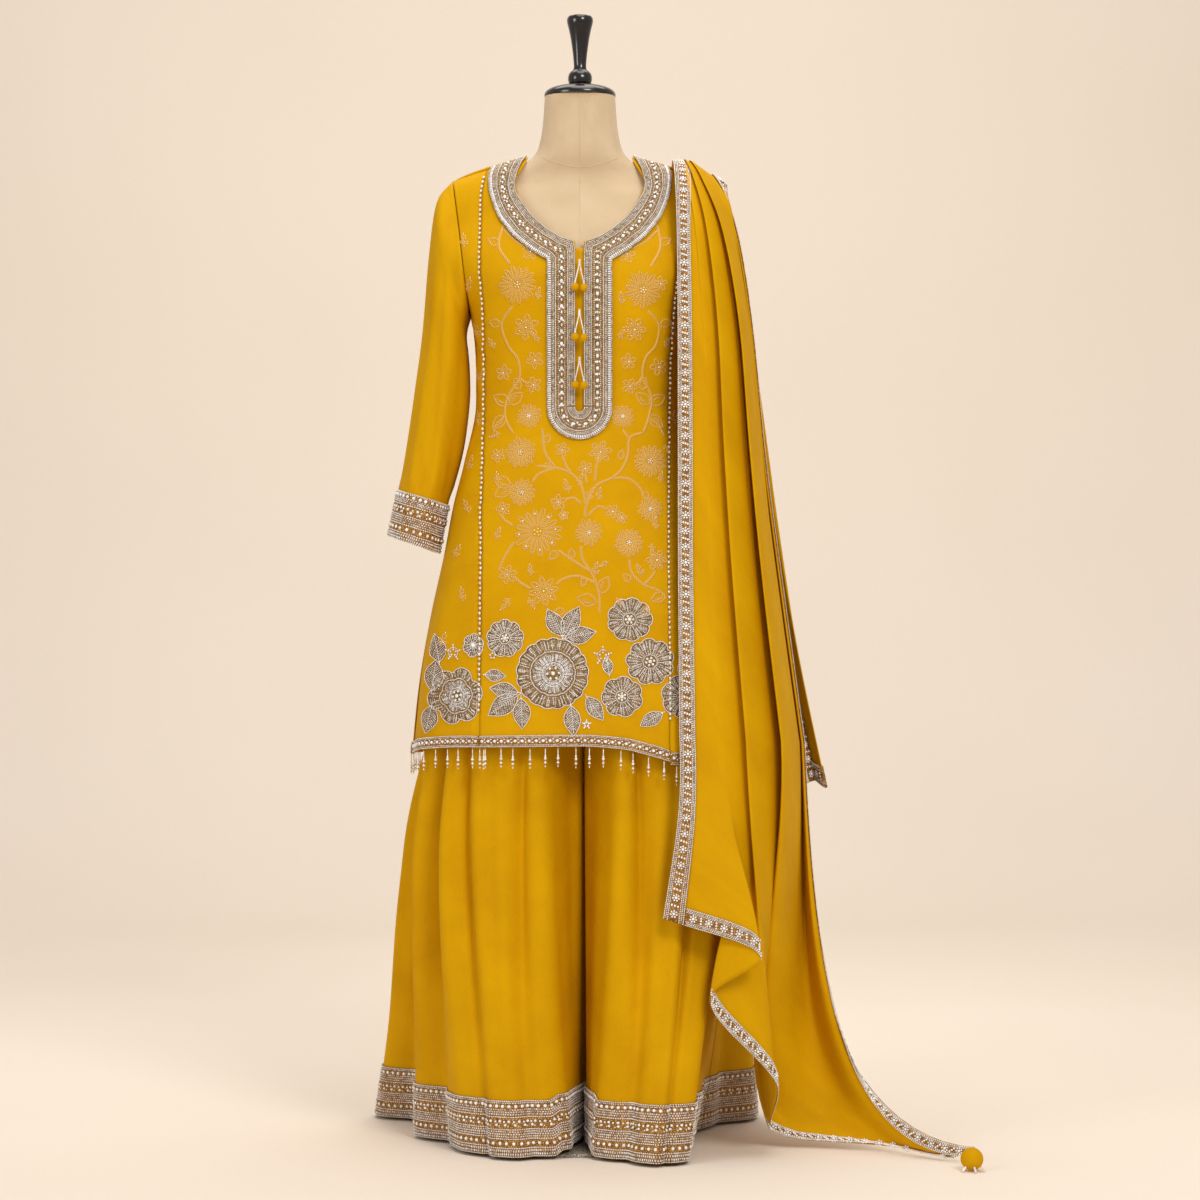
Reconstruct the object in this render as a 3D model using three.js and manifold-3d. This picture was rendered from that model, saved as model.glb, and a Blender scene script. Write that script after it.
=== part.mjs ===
// Salwar kameez suit on a limbless dress form: a short kameez with princess seams, very wide
// trousers and a dupatta over the wearer's left shoulder. Millimetres, +Z up, the front faces -Y
// and the wearer's right is -X. The origin is the middle of the stand's underside, on the floor.
import * as THREE from 'three';
import { mergeVertices } from 'three/addons/utils/BufferGeometryUtils.js';
import Module from 'manifold-3d';

const wasm = await Module();
wasm.setup();

// ---- driving sizes ------------------------------------------------------------------------
const CLOTH = 1.2; // wall of every cloth piece
const BAND = 1.4; // beaded band, with its backing
const SEAM = 0.4; // gap left at each seam
const LIFT = CLOTH / 2 + 0.4 + BAND / 2; // middle of a band above the middle of its cloth
const RIDGE_Z = 1396; // shoulder line at the neck
const RIDGE_X = 74; // half width of the neckline at the shoulder line
const SHOULDER_DROP = 0.32; // fall of the shoulder line for each millimetre outward
const UNDERARM_Z = 1167;
const SHOULDER_X = 180;
const SLIT_TOP_Z = 815; // side slits of the kameez open below this
const SLIT_HALF = 6; // half width of the front slit
const SLIT_END_Z = 1030;
const PLACKET_HALF = 45;
const PLACKET_END_Z = 988;
const HEM_BAND = 16; // kameez hem band
const FRINGE = 30; // reach of the bead drops
const HIP_Z = 712; // the trouser legs start to part below this
const CROTCH_Z = 645;
const WAIST_Z = 985;
const LEG_BAND = 77; // trouser hem band
const POLE_R = 11;
const BASE_R = 148;
const BASE_H = 6;
const BORDER = 25; // dupatta border

const MUSTARD = 0xd99a0b;
const BEAD = 0xb9a692;
const PEARL = 0xefe6d8;
const JERSEY = 0xd2bd9c;
const LACQUER = 0x120c0b;
const STEEL = 0x2a2a2c;

// ---- small helpers ------------------------------------------------------------------------
const material = (color, roughness, metalness = 0) =>
  new THREE.MeshStandardMaterial({ color, roughness, metalness });
const mix = (a, b, t) => a + (b - a) * t;
const clamp01 = (t) => Math.min(1, Math.max(0, t));
const smooth = (t) => clamp01(t) ** 2 * (3 - 2 * clamp01(t));
const span = (from, to, count) => Array.from({ length: count + 1 }, (_, i) => mix(from, to, i / count));

// Smooth value of one column of a table at a key: monotone cubic, held flat past both ends.
function column(table, key, name, at) {
  const rows = table[0][key] < table[table.length - 1][key] ? table : [...table].reverse();
  const last = rows.length - 1;
  if (at <= rows[0][key]) return rows[0][name];
  if (at >= rows[last][key]) return rows[last][name];
  const slope = (i) => (rows[i + 1][name] - rows[i][name]) / (rows[i + 1][key] - rows[i][key]);
  const tangent = (i) => {
    if (i === 0) return slope(0);
    if (i === last) return slope(last - 1);
    const before = slope(i - 1);
    const after = slope(i);
    return before * after <= 0 ? 0 : (2 * before * after) / (before + after);
  };
  let i = 0;
  while (at > rows[i + 1][key]) i += 1;
  const width = rows[i + 1][key] - rows[i][key];
  const t = (at - rows[i][key]) / width;
  return (
    (2 * t ** 3 - 3 * t ** 2 + 1) * rows[i][name] +
    (t ** 3 - 2 * t ** 2 + t) * width * tangent(i) +
    (3 * t ** 2 - 2 * t ** 3) * rows[i + 1][name] +
    (t ** 3 - t ** 2) * width * tangent(i + 1)
  );
}

// Catmull-Rom blend of four values.
function spline(a, b, c, d, t) {
  return 0.5 * (2 * b + (c - a) * t + (2 * a - 5 * b + 4 * c - d) * t ** 2 + (3 * b - a - 3 * c + d) * t ** 3);
}

// A point at a fractional place along a list of [x, y, z] points.
function along(points, at) {
  const count = points.length;
  const i = Math.min(Math.max(Math.floor(at), 0), count - 2);
  const pick = (k) => {
    if (k < 0) return points[0].map((v, axis) => 2 * v - points[1][axis]);
    if (k >= count) return points[count - 1].map((v, axis) => 2 * v - points[count - 2][axis]);
    return points[k];
  };
  return [0, 1, 2].map((axis) =>
    spline(pick(i - 1)[axis], pick(i)[axis], pick(i + 1)[axis], pick(i + 2)[axis], at - i));
}

function solidOf(positions, triangles) {
  const geometry = new THREE.BufferGeometry();
  geometry.setAttribute('position', new THREE.Float32BufferAttribute(positions, 3));
  geometry.setIndex(triangles);
  return geometry;
}

// A cloth wall on a grid of columns u and rows v. point(u, v) is the middle of the base cloth,
// out is +1 where its u direction crossed with its v direction points outward, lift moves the
// wall out along the normal, and cell(i, j) leaves cells out. wrap joins the last column to the first.
function wall({ us, vs, point, out = 1, thick = CLOTH, lift = 0, cell = () => true, wrap = false }) {
  const step = { u: (us[us.length - 1] - us[0]) * 1e-3, v: (vs[vs.length - 1] - vs[0]) * 1e-3 };
  const at = (u, v) => new THREE.Vector3(...point(u, v));
  const normal = (u, v) => {
    const du = at(u + step.u, v).sub(at(u - step.u, v));
    const dv = at(u, v + step.v).sub(at(u, v - step.v));
    return du.cross(dv).normalize().multiplyScalar(out);
  };
  const columns = wrap ? us.length - 1 : us.length;
  const positions = [];
  const index = new Map();
  const vertex = (i, j, side) => {
    const name = `${i % columns},${j},${side}`;
    if (!index.has(name)) {
      const u = us[i % columns];
      const p = at(u, vs[j]).addScaledVector(normal(u, vs[j]), lift + (side * thick) / 2);
      index.set(name, positions.length / 3);
      positions.push(p.x, p.y, p.z);
    }
    return index.get(name);
  };
  const triangles = [];
  const edges = new Map();
  for (let i = 0; i < us.length - 1; i += 1) {
    for (let j = 0; j < vs.length - 1; j += 1) {
      if (!cell(i, j)) continue;
      const ring = [[i, j], [i + 1, j], [i + 1, j + 1], [i, j + 1]];
      if (out < 0) ring.reverse();
      const outer = ring.map(([a, b]) => vertex(a, b, 1));
      const inner = ring.map(([a, b]) => vertex(a, b, -1));
      triangles.push(outer[0], outer[1], outer[2], outer[0], outer[2], outer[3]);
      triangles.push(inner[0], inner[2], inner[1], inner[0], inner[3], inner[2]);
      for (let k = 0; k < 4; k += 1) {
        const n = (k + 1) % 4;
        const back = `${outer[n]},${outer[k]}`;
        if (edges.has(back)) edges.delete(back);
        else edges.set(`${outer[k]},${outer[n]}`, [outer[k], outer[n], inner[k], inner[n]]);
      }
    }
  }
  for (const [a, b, c, d] of edges.values()) triangles.push(b, a, c, b, c, d);
  return solidOf(positions, triangles);
}

function asManifold(geometry) {
  const bare = geometry.clone();
  bare.deleteAttribute('normal');
  bare.deleteAttribute('uv');
  const merged = mergeVertices(bare, 1e-4);
  return new wasm.Manifold(
    new wasm.Mesh({
      numProp: 3,
      vertProperties: new Float32Array(merged.attributes.position.array),
      triVerts: new Uint32Array(merged.index.array),
    }),
  );
}

function asGeometry(solid) {
  const mesh = solid.getMesh();
  return solidOf(Array.from(mesh.vertProperties), Array.from(mesh.triVerts));
}

// ---- dress form ---------------------------------------------------------------------------
// half: half width, front and back: depth each way from the middle.
const FORM = [
  { z: 720, half: 146, front: 88, back: 108 },
  { z: 760, half: 158, front: 98, back: 116 },
  { z: 850, half: 164, front: 104, back: 122 },
  { z: 957, half: 146, front: 92, back: 98 },
  { z: 1050, half: 126, front: 82, back: 74 },
  { z: 1130, half: 136, front: 94, back: 80 },
  { z: 1214, half: 148, front: 111, back: 86 },
  { z: 1250, half: 156, front: 99, back: 84 },
  { z: 1285, half: 160, front: 82, back: 78 },
  { z: 1320, half: 164, front: 62, back: 66 },
  { z: 1345, half: 166, front: 47, back: 52 },
  { z: 1356, half: 160, front: 37, back: 38 },
  { z: 1370, half: 122, front: 34, back: 28 },
  { z: 1383, half: 86, front: 38, back: 26 },
  { z: 1394, half: 68, front: 42, back: 31 },
  { z: 1409, half: 59, front: 44, back: 40 },
  { z: 1440, half: 53, front: 44, back: 43 },
  { z: 1481, half: 50, front: 45, back: 45 },
];
const FORM_SIDES = 24;

// A closed stack of rings through rows of a table.
function loft(rows, sides, ringPoint) {
  const positions = [];
  const triangles = [];
  rows.forEach((row) => {
    for (let k = 0; k < sides; k += 1) positions.push(...ringPoint(row, (k / sides) * 2 * Math.PI));
  });
  for (let r = 0; r < rows.length - 1; r += 1) {
    for (let k = 0; k < sides; k += 1) {
      const a = r * sides + k;
      const b = r * sides + ((k + 1) % sides);
      triangles.push(a, b, b + sides, a, b + sides, a + sides);
    }
  }
  const low = positions.length / 3;
  const first = ringPoint(rows[0], 0);
  const end = ringPoint(rows[rows.length - 1], 0);
  positions.push(0, 0, first[2], 0, 0, end[2]);
  const top = (rows.length - 1) * sides;
  for (let k = 0; k < sides; k += 1) {
    const n = (k + 1) % sides;
    triangles.push(low, n, k, low + 1, top + k, top + n);
  }
  return solidOf(positions, triangles);
}

const boxiness = (angle) => 1 + 0.07 * Math.sin(2 * angle) ** 2;

function formRing(row, turn) {
  const depth = Math.cos(turn) > 0 ? row.back : row.front;
  const side = boxiness(turn);
  return [-row.half * Math.sin(turn) * side, depth * Math.cos(turn) * side, row.z];
}

const turned = (profile, sides) => {
  const points = profile.map(([r, z]) => new THREE.Vector2(r, z));
  const geometry = new THREE.LatheGeometry(points, sides);
  geometry.rotateX(Math.PI / 2);
  return geometry;
};

// ---- kameez body --------------------------------------------------------------------------
// Widths and depths of the worn kameez. Above the underarm, half is the width of the curve that
// the chest lies on, which runs on past the armhole.
const BODY = [
  { z: 545, half: 238, front: 162, back: 179 },
  { z: 643, half: 228, front: 152, back: 162 },
  { z: 747, half: 211, front: 140, back: 150 },
  { z: 834, half: 192, front: 130, back: 142 },
  { z: 902, half: 179, front: 119, back: 128 },
  { z: 957, half: 165, front: 111, back: 112 },
  { z: 1050, half: 147, front: 101, back: 90 },
  { z: 1100, half: 147, front: 108, back: 90 },
  { z: 1167, half: 154, front: 120, back: 94 },
  { z: 1214, half: 178, front: 121, back: 95 },
  { z: 1250, half: 195, front: 109, back: 93 },
  { z: 1285, half: 198, front: 91, back: 86 },
  { z: 1320, half: 198, front: 71, back: 74 },
  { z: 1350, half: 198, front: 55, back: 60 },
  { z: 1370, half: 198, front: 42, back: 46 },
  { z: 1384, half: 198, front: 28, back: 31 },
  { z: 1392, half: 198, front: 13, back: 14 },
  { z: 1396, half: 198, front: 0, back: 0 },
];
// Where the princess seams and the armhole seams run.
const SEAMS = [
  { z: 560, right: 137, left: 122 },
  { z: 700, right: 137, left: 122 },
  { z: 900, right: 136, left: 123 },
  { z: 1080, right: 133, left: 125 },
  { z: 1167, right: 134, left: 130 },
  { z: 1240, right: 139, left: 137 },
  { z: 1330, right: 139, left: 139 },
  { z: 1385, right: 131, left: 131 },
];
const ARMHOLE = [
  { z: 1167, x: 154 },
  { z: 1190, x: 157 },
  { z: 1230, x: 162 },
  { z: 1300, x: 171 },
  { z: 1362, x: 180 },
];
// Lower edge of the kameez, round the front: level at each place across.
const HEM = [
  { x: -235, z: 550 },
  { x: -139, z: 564 },
  { x: 0, z: 566 },
  { x: 60, z: 562 },
  { x: 100, z: 552 },
  { x: 140, z: 541 },
  { x: 235, z: 548 },
];
// Soft hanging folds of the kameez below the waist: where round the body, how wide and deep.
const KAMEEZ_FOLDS = [
  { angle: -78, width: 9, depth: -4 },
  { angle: -48, width: 8, depth: -6 },
  { angle: -22, width: 10, depth: 5 },
  { angle: 6, width: 9, depth: -6 },
  { angle: 30, width: 9, depth: 5 },
  { angle: 52, width: 8, depth: -6 },
  { angle: 76, width: 9, depth: -5 },
  { angle: 105, width: 10, depth: 4 },
  { angle: 132, width: 10, depth: 6 },
  { angle: 158, width: 9, depth: -8 },
  { angle: 184, width: 10, depth: 6 },
  { angle: 210, width: 9, depth: -7 },
  { angle: 236, width: 8, depth: -4 },
  { angle: 258, width: 9, depth: 4 },
];
const RAD = Math.PI / 180;

const ridgeDrop = (x) => Math.max(0, Math.abs(x) - RIDGE_X) * SHOULDER_DROP;

// Depth level used at a place on the chest: the shoulder line falls outward, and this raises
// the level so that front and back still meet on it.
const chestLevel = (x, z) => z + ridgeDrop(x) * smooth((z - 1230) / 80);

function foldAt(folds, angle) {
  return folds.reduce((sum, fold) => {
    const away = ((angle - fold.angle + 540) % 360) - 180;
    return sum + fold.depth * Math.exp(-((away / fold.width) ** 2));
  }, 0);
}

// A point of the kameez at an angle round the body: 0 is the middle of the front, 90 the
// wearer's left side, -90 the right side and 180 the middle of the back.
function body(angle, z) {
  const turn = angle * RAD;
  const side = boxiness(turn);
  const x = column(BODY, 'z', 'half', z) * Math.sin(turn) * side;
  const depth = column(BODY, 'z', Math.cos(turn) > 0 ? 'front' : 'back', chestLevel(x, z));
  const fold = foldAt(KAMEEZ_FOLDS, (angle + 360) % 360) * smooth((930 - z) / 340);
  return [x + fold * Math.sin(turn), -depth * Math.cos(turn) * side - fold * Math.cos(turn), z];
}

// The angle at which the kameez reaches x at a level, on the front.
function angleAt(x, z) {
  let low = -90;
  let high = 90;
  for (let k = 0; k < 40; k += 1) {
    const middle = (low + high) / 2;
    const turn = middle * RAD;
    if (column(BODY, 'z', 'half', z) * Math.sin(turn) * boxiness(turn) < x) low = middle;
    else high = middle;
  }
  return (low + high) / 2;
}

const frontPoint = (x, z) => body(angleAt(x, z), z);
const hemAt = (x) => column(HEM, 'x', 'z', x);

// ---- kameez panels ------------------------------------------------------------------------
// The neckline, from the middle out: level of its edge at each place across.
const NECKLINE = [
  { x: 0, z: 1265 },
  { x: 9, z: 1265 },
  { x: 26, z: 1270 },
  { x: 46, z: 1283 },
  { x: 66, z: 1301 },
  { x: 82, z: 1326 },
  { x: 91, z: 1352 },
];
const NECK_X = 91; // the neckline is widest here
const NECK_Z = 1352; // and above this level it runs in to the shoulder line
const BACK_NECK_DIP = 45;
// Rows of every body panel: the hem, the hem band's top, levels up to the underarm, then four
// rows up to the widest place of the neckline and three more up to the shoulder line.
const LEVELS = [0, HEM_BAND, 660, 740, SLIT_TOP_Z, 900, PLACKET_END_Z, SLIT_END_Z, 1080, 1125, UNDERARM_Z];
const UNDERARM_ROW = LEVELS.length - 1;
const NECK_ROW = UNDERARM_ROW + 4;
const TOP_ROW = NECK_ROW + 3;
const rowsTo = (last) => Array.from({ length: last + 1 }, (_, i) => i);

// The panels' top edge, just short of the shoulder line so that front and back don't touch.
const ridgeAt = (x) => RIDGE_Z - 0.6 - ridgeDrop(x);
const STRAP_RISE = [0, 0.55, 0.84, 1];

// Level of a fractional row at a place across, where neck is the level of the neck row there.
function levelOf(row, x, neck, top) {
  const fixed = (i) => (i < 2 ? hemAt(x) + LEVELS[i] : LEVELS[i]);
  if (row <= UNDERARM_ROW) {
    const i = Math.min(Math.max(Math.floor(row), 0), UNDERARM_ROW - 1);
    return mix(fixed(i), fixed(i + 1), row - i);
  }
  if (row <= NECK_ROW) return mix(UNDERARM_Z, neck, (row - UNDERARM_ROW) / (NECK_ROW - UNDERARM_ROW));
  const i = Math.min(Math.floor(row - NECK_ROW), 2);
  return mix(neck, top, mix(STRAP_RISE[i], STRAP_RISE[i + 1], row - NECK_ROW - i));
}

// Place across the centre front: q is 1 at the neckline's widest place and 1.5 at the seam.
function centreX(q, z) {
  const seam = column(SEAMS, 'z', q < 0 ? 'right' : 'left', z) - SEAM / 2;
  const neck = mix(NECK_X, RIDGE_X, smooth((z - NECK_Z) / (RIDGE_Z - NECK_Z)));
  const size = Math.abs(q) <= 1 ? Math.abs(q) * neck : mix(neck, seam, (Math.abs(q) - 1) / 0.5);
  return Math.sign(q) * size;
}

function centreFront(q, row) {
  const reach = Math.min(1, Math.abs(q));
  const neck = column(NECKLINE, 'x', 'z', reach * NECK_X);
  const topX = mix(RIDGE_X, 131, (Math.abs(q) - 1) / 0.5);
  const z = levelOf(row, centreX(q, 700), neck, ridgeAt(topX));
  return frontPoint(centreX(q, z), z);
}

const PLACKET_Q = PLACKET_HALF / NECK_X;
const SLIT_Q = SLIT_HALF / NECK_X;
const HALF_COLUMNS = [SLIT_Q, 0.25, PLACKET_Q, 0.75, 1, 1.25, 1.5];
const CENTRE_COLUMNS = [...HALF_COLUMNS.map((q) => -q).reverse(), ...HALF_COLUMNS];
const SLIT_ROW = LEVELS.indexOf(SLIT_END_Z);

function centreCell(i, j) {
  const low = CENTRE_COLUMNS[i];
  const high = CENTRE_COLUMNS[i + 1];
  if (low < 0 && high > 0 && j >= SLIT_ROW) return false;
  return j < NECK_ROW || Math.min(Math.abs(low), Math.abs(high)) >= 1;
}

// Half angle that a panel reaches to: the side seam, the armhole, or the edge of the side slit.
function reachOf(z) {
  const half = column(BODY, 'z', 'half', z);
  const gap = SEAM / 2 / half / RAD;
  if (z > UNDERARM_Z) return angleAt(column(ARMHOLE, 'z', 'x', z), z) - gap;
  return 90 - gap - 4 * smooth((SLIT_TOP_Z - z) / 240);
}

// Side front: s is 0 at the princess seam and 1 at the side seam or armhole.
function sideFront(side, s, row) {
  const z = levelOf(row, side * mix(135, 230, s), NECK_Z, ridgeAt(mix(131, SHOULDER_X, s)));
  const seam = column(SEAMS, 'z', side < 0 ? 'right' : 'left', z) + SEAM / 2;
  return body(side * mix(angleAt(seam, z), reachOf(z), s), z);
}

const BACK_NECK_P = RIDGE_X / SHOULDER_X;
const HALF_BACK = [0.33 * BACK_NECK_P, 0.67 * BACK_NECK_P, BACK_NECK_P, 0.61, 0.81, 1];
const BACK_COLUMNS = [...HALF_BACK.map((p) => -p).reverse(), 0, ...HALF_BACK];

// Back: p is -1 at the wearer's right side and 1 at the left.
function backPanel(p, row) {
  const size = Math.abs(p);
  const topX = size * SHOULDER_X;
  const dip = BACK_NECK_DIP * Math.max(0, 1 - (topX / RIDGE_X) ** 4);
  const level = levelOf(row, 235, mix(UNDERARM_Z, ridgeAt(topX) - dip, 0.78), ridgeAt(topX) - dip);
  return body(180 - p * reachOf(level), level);
}

// A strip between a path's inner and outer edges, on the front of the body.
const NECK_BAND = [
  { inX: 74.5, inZ: 1394, outX: 125, outZ: 1377.5 },
  { inX: 80, inZ: 1385, outX: 127.5, outZ: 1370 },
  { inX: 86, inZ: 1372, outX: 129, outZ: 1360 },
  { inX: 91, inZ: 1352, outX: 127, outZ: 1342 },
  { inX: 88.5, inZ: 1338, outX: 121, outZ: 1321 },
  { inX: 82, inZ: 1326, outX: 112, outZ: 1299 },
  { inX: 66, inZ: 1301, outX: 92, outZ: 1272 },
  { inX: 46, inZ: 1283, outX: 68, outZ: 1251 },
  { inX: 26, inZ: 1270, outX: PLACKET_HALF, outZ: 1237 },
  { inX: 8, inZ: 1264, outX: PLACKET_HALF, outZ: 1230 },
  { inX: SLIT_HALF, inZ: 1250, outX: PLACKET_HALF, outZ: 1222 },
  { inX: SLIT_HALF, inZ: 1235, outX: PLACKET_HALF, outZ: 1205 },
  { inX: SLIT_HALF, inZ: 1211, outX: PLACKET_HALF, outZ: 1190 },
  { inX: SLIT_HALF, inZ: 1180, outX: PLACKET_HALF, outZ: 1172 },
  { inX: SLIT_HALF, inZ: 1145, outX: PLACKET_HALF, outZ: 1145 },
  { inX: SLIT_HALF, inZ: 1090, outX: PLACKET_HALF, outZ: 1090 },
  { inX: SLIT_HALF, inZ: 1038, outX: PLACKET_HALF, outZ: 1034 },
  { inX: 4.3, inZ: 1030, outX: 32, outZ: 1000 },
  { inX: 0, inZ: 1028, outX: 0, outZ: PLACKET_END_Z },
];
const NECK_LIFT = CLOTH / 2 + 2.6 + BAND / 2;
const BAND_ENDS = NECK_BAND.length - 1;

function neckBandPoint(at, across) {
  const station = BAND_ENDS - Math.abs(at - BAND_ENDS);
  const i = Math.min(Math.max(Math.floor(station), 0), BAND_ENDS - 1);
  const side = at < BAND_ENDS ? -1 : 1;
  const value = (name) => mix(NECK_BAND[i][name], NECK_BAND[i + 1][name], station - i);
  const x = side * mix(value('inX'), value('outX'), across);
  return frontPoint(x, mix(value('inZ'), value('outZ'), across));
}

// ---- sleeves ------------------------------------------------------------------------------
// Over-arm and under-arm edges of the hanging sleeve at each section, and its half depth.
const SLEEVE = [
  { outX: 180, outZ: 1362, inX: 154, inZ: 1167, depth: 56 },
  { outX: 203, outZ: 1331, inX: 161, inZ: 1143, depth: 60 },
  { outX: 214, outZ: 1257, inX: 159, inZ: 1118, depth: 60 },
  { outX: 223, outZ: 1149, inX: 157, inZ: 1092, depth: 58 },
  { outX: 232, outZ: 1080, inX: 157, inZ: 1048, depth: 57 },
  { outX: 242, outZ: 1010, inX: 165, inZ: 985, depth: 56 },
  { outX: 251, outZ: 955, inX: 178, inZ: 934, depth: 55 },
  { outX: 258, outZ: 923, inX: 188, inZ: 902, depth: 55 },
  { outX: 272, outZ: 858, inX: 201, inZ: 833, depth: 54 },
];
const CUFF_ROW = 7;
const SLEEVE_END = SLEEVE.length - 1;
const LEFT_PRESS = 14; // the dupatta presses the left sleeve in by this much

function sleeveSection(row, turn, press) {
  const middleX = (row.outX - press + row.inX) / 2;
  const middleZ = (row.outZ + row.inZ) / 2;
  const x = middleX + ((row.outX - press - row.inX) / 2) * Math.cos(turn);
  const z = middleZ + ((row.outZ - row.inZ) / 2) * Math.cos(turn);
  return [x, -row.depth * Math.sin(turn), z];
}

// The armhole edge of the body, round the same turn as the sleeve's sections.
function armholePoint(turn) {
  const low = UNDERARM_Z + 0.5;
  const high = ridgeAt(SHOULDER_X) - 0.5;
  const z = (low + high) / 2 + ((high - low) / 2) * Math.cos(turn);
  const x = column(ARMHOLE, 'z', 'x', z);
  const angle = angleAt(x, z);
  const p = body(Math.sin(turn) >= 0 ? angle : 180 - angle, z);
  return [p[0] + 1.2, p[1], z];
}

function sleevePoint(side, turn, at) {
  const press = side > 0 ? LEFT_PRESS * smooth(at / 3) : 0;
  const sections = SLEEVE.map((row) => sleeveSection(row, turn, press));
  const p = along(sections, at);
  const start = sleeveSection(SLEEVE[0], turn, 0);
  const hole = armholePoint(turn);
  const hold = 1 - smooth(at / 1.3);
  return [0, 1, 2].map((axis) => (p[axis] + (hole[axis] - start[axis]) * hold) * (axis === 0 ? side : 1));
}

// ---- trousers -----------------------------------------------------------------------------
const TROUSERS = [
  { z: 0, half: 240, front: 150, back: 165 },
  { z: 400, half: 231, front: 142, back: 154 },
  { z: 564, half: 216, front: 134, back: 140 },
  { z: 712, half: 198, front: 122, back: 134 },
  { z: 850, half: 175, front: 114, back: 131 },
  { z: 957, half: 153, front: 99, back: 104 },
  { z: 1010, half: 141, front: 92, back: 90 },
];
// Hem of each leg from above, from the inside leg round the front to the side seam and back:
// where each fold stands on the floor (x, y) and where round the hips it starts (angle).
const RIGHT_LEG = [
  { x: 15, y: 5, angle: 0, inX: 15, inY: 0 },
  { x: 2, y: -45, angle: 3, inX: 6, inY: -40 },
  { x: -14, y: -95, angle: 7, inX: -6, inY: -85 },
  { x: -42, y: -148, angle: 16 },
  { x: -85, y: -170, angle: 28 },
  { x: -125, y: -150, angle: 40 },
  { x: -160, y: -105, angle: 50 },
  { x: -196, y: -45, angle: 60 },
  { x: -229, y: 25, angle: 69 },
  { x: -206, y: 70, angle: 78 },
  { x: -222, y: 118, angle: 90 },
  { x: -270, y: 160, angle: 101 },
  { x: -304, y: 212, angle: 110 },
  { x: -276, y: 240, angle: 120 },
  { x: -232, y: 212, angle: 130 },
  { x: -186, y: 234, angle: 141 },
  { x: -146, y: 196, angle: 150 },
  { x: -100, y: 226, angle: 160 },
  { x: -48, y: 192, angle: 170 },
  { x: -12, y: 110, angle: 176, inX: 2, inY: 75 },
  { x: 15, y: 5, angle: 180, inX: 15, inY: 0 },
];
const LEFT_LEG = [
  { x: 23, y: 5, angle: 0, inX: 23, inY: 0 },
  { x: 12, y: -50, angle: 3, inX: 13, inY: -40 },
  { x: 16, y: -100, angle: 7, inX: 8, inY: -85 },
  { x: 42, y: -150, angle: 16 },
  { x: 78, y: -198, angle: 28 },
  { x: 110, y: -220, angle: 40 },
  { x: 139, y: -196, angle: 50 },
  { x: 152, y: -140, angle: 60 },
  { x: 148, y: -60, angle: 69 },
  { x: 150, y: 10, angle: 78 },
  { x: 172, y: 66, angle: 90 },
  { x: 214, y: 120, angle: 101 },
  { x: 258, y: 180, angle: 110 },
  { x: 262, y: 222, angle: 120 },
  { x: 222, y: 232, angle: 130 },
  { x: 180, y: 200, angle: 141 },
  { x: 140, y: 236, angle: 150 },
  { x: 98, y: 196, angle: 160 },
  { x: 50, y: 218, angle: 170 },
  { x: 20, y: 110, angle: 176, inX: 10, inY: 75 },
  { x: 23, y: 5, angle: 180, inX: 23, inY: 0 },
];
const HEM_Z = 5;
const FOLD_COLUMNS = [0, 1, 2, 3, 4, 4.5, 5, 5.5, 6, 7, 8, 9, 10];
const SIDE_STATION = 10;
const LEG_END = RIGHT_LEG.length - 1;
const LEG_SPREAD = 1.8; // how late the folds open on their way down
const LEG_ROWS = [WAIST_Z, 900, 810, HIP_Z, 688, 665, CROTCH_Z, 580, 490, 390, 280, 170];

// One fold line's place at a level.
function legStation(side, leg, k, z) {
  const row = leg[k];
  const turn = (row.angle + (k === 0 ? 0.2 : 0) - (k === LEG_END ? 0.2 : 0)) * RAD;
  const wide = boxiness(turn);
  const hipX = side * column(TROUSERS, 'z', 'half', z) * Math.sin(turn) * wide;
  const hipY = -column(TROUSERS, 'z', Math.cos(turn) > 0 ? 'front' : 'back', z) * Math.cos(turn) * wide;
  const down = clamp01((HIP_Z - z) / (HIP_Z - HEM_Z)) ** LEG_SPREAD;
  if (row.inX === undefined) return [mix(hipX, row.x, down), mix(hipY, row.y, down)];
  const part = smooth((HIP_Z - z) / (HIP_Z - CROTCH_Z));
  return [mix(hipX, mix(row.inX, row.x, down), part), mix(hipY, mix(row.inY, row.y, down), part)];
}

// The hem clears the stand's plate where it passes over it.
const hemLevel = (x, y) => mix(BASE_H + 6, HEM_Z, smooth((Math.hypot(x, y) - BASE_R - 4) / 12));

function legPoint(side, at, row) {
  const leg = side < 0 ? RIGHT_LEG : LEFT_LEG;
  const i = Math.min(Math.max(Math.floor(at), 0), LEG_END - 1);
  const spot = (z) => {
    const points = [-1, 0, 1, 2].map((step) => {
      const k = i + step;
      if (k >= 0 && k <= LEG_END) return legStation(side, leg, k, z);
      if (z < CROTCH_Z) return legStation(side, leg, k < 0 ? LEG_END - 1 : 1, z);
      const end = legStation(side, leg, k < 0 ? 0 : LEG_END, z);
      const next = legStation(side, leg, k < 0 ? 1 : LEG_END - 1, z);
      return [2 * end[0] - next[0], 2 * end[1] - next[1]];
    });
    return [0, 1].map((axis) => spline(...points.map((p) => p[axis]), at - i));
  };
  const last = LEG_ROWS.length - 1;
  const [hemX, hemY] = spot(HEM_Z);
  const hem = hemLevel(hemX, hemY);
  const level = (j) => (j <= last ? LEG_ROWS[j] : hem + (last + 2 - j) * LEG_BAND);
  const j = Math.min(Math.max(Math.floor(row), 0), last + 1);
  const z = mix(level(j), level(j + 1), row - j);
  const [x, y] = spot(z);
  return [x, y, z];
}

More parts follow.
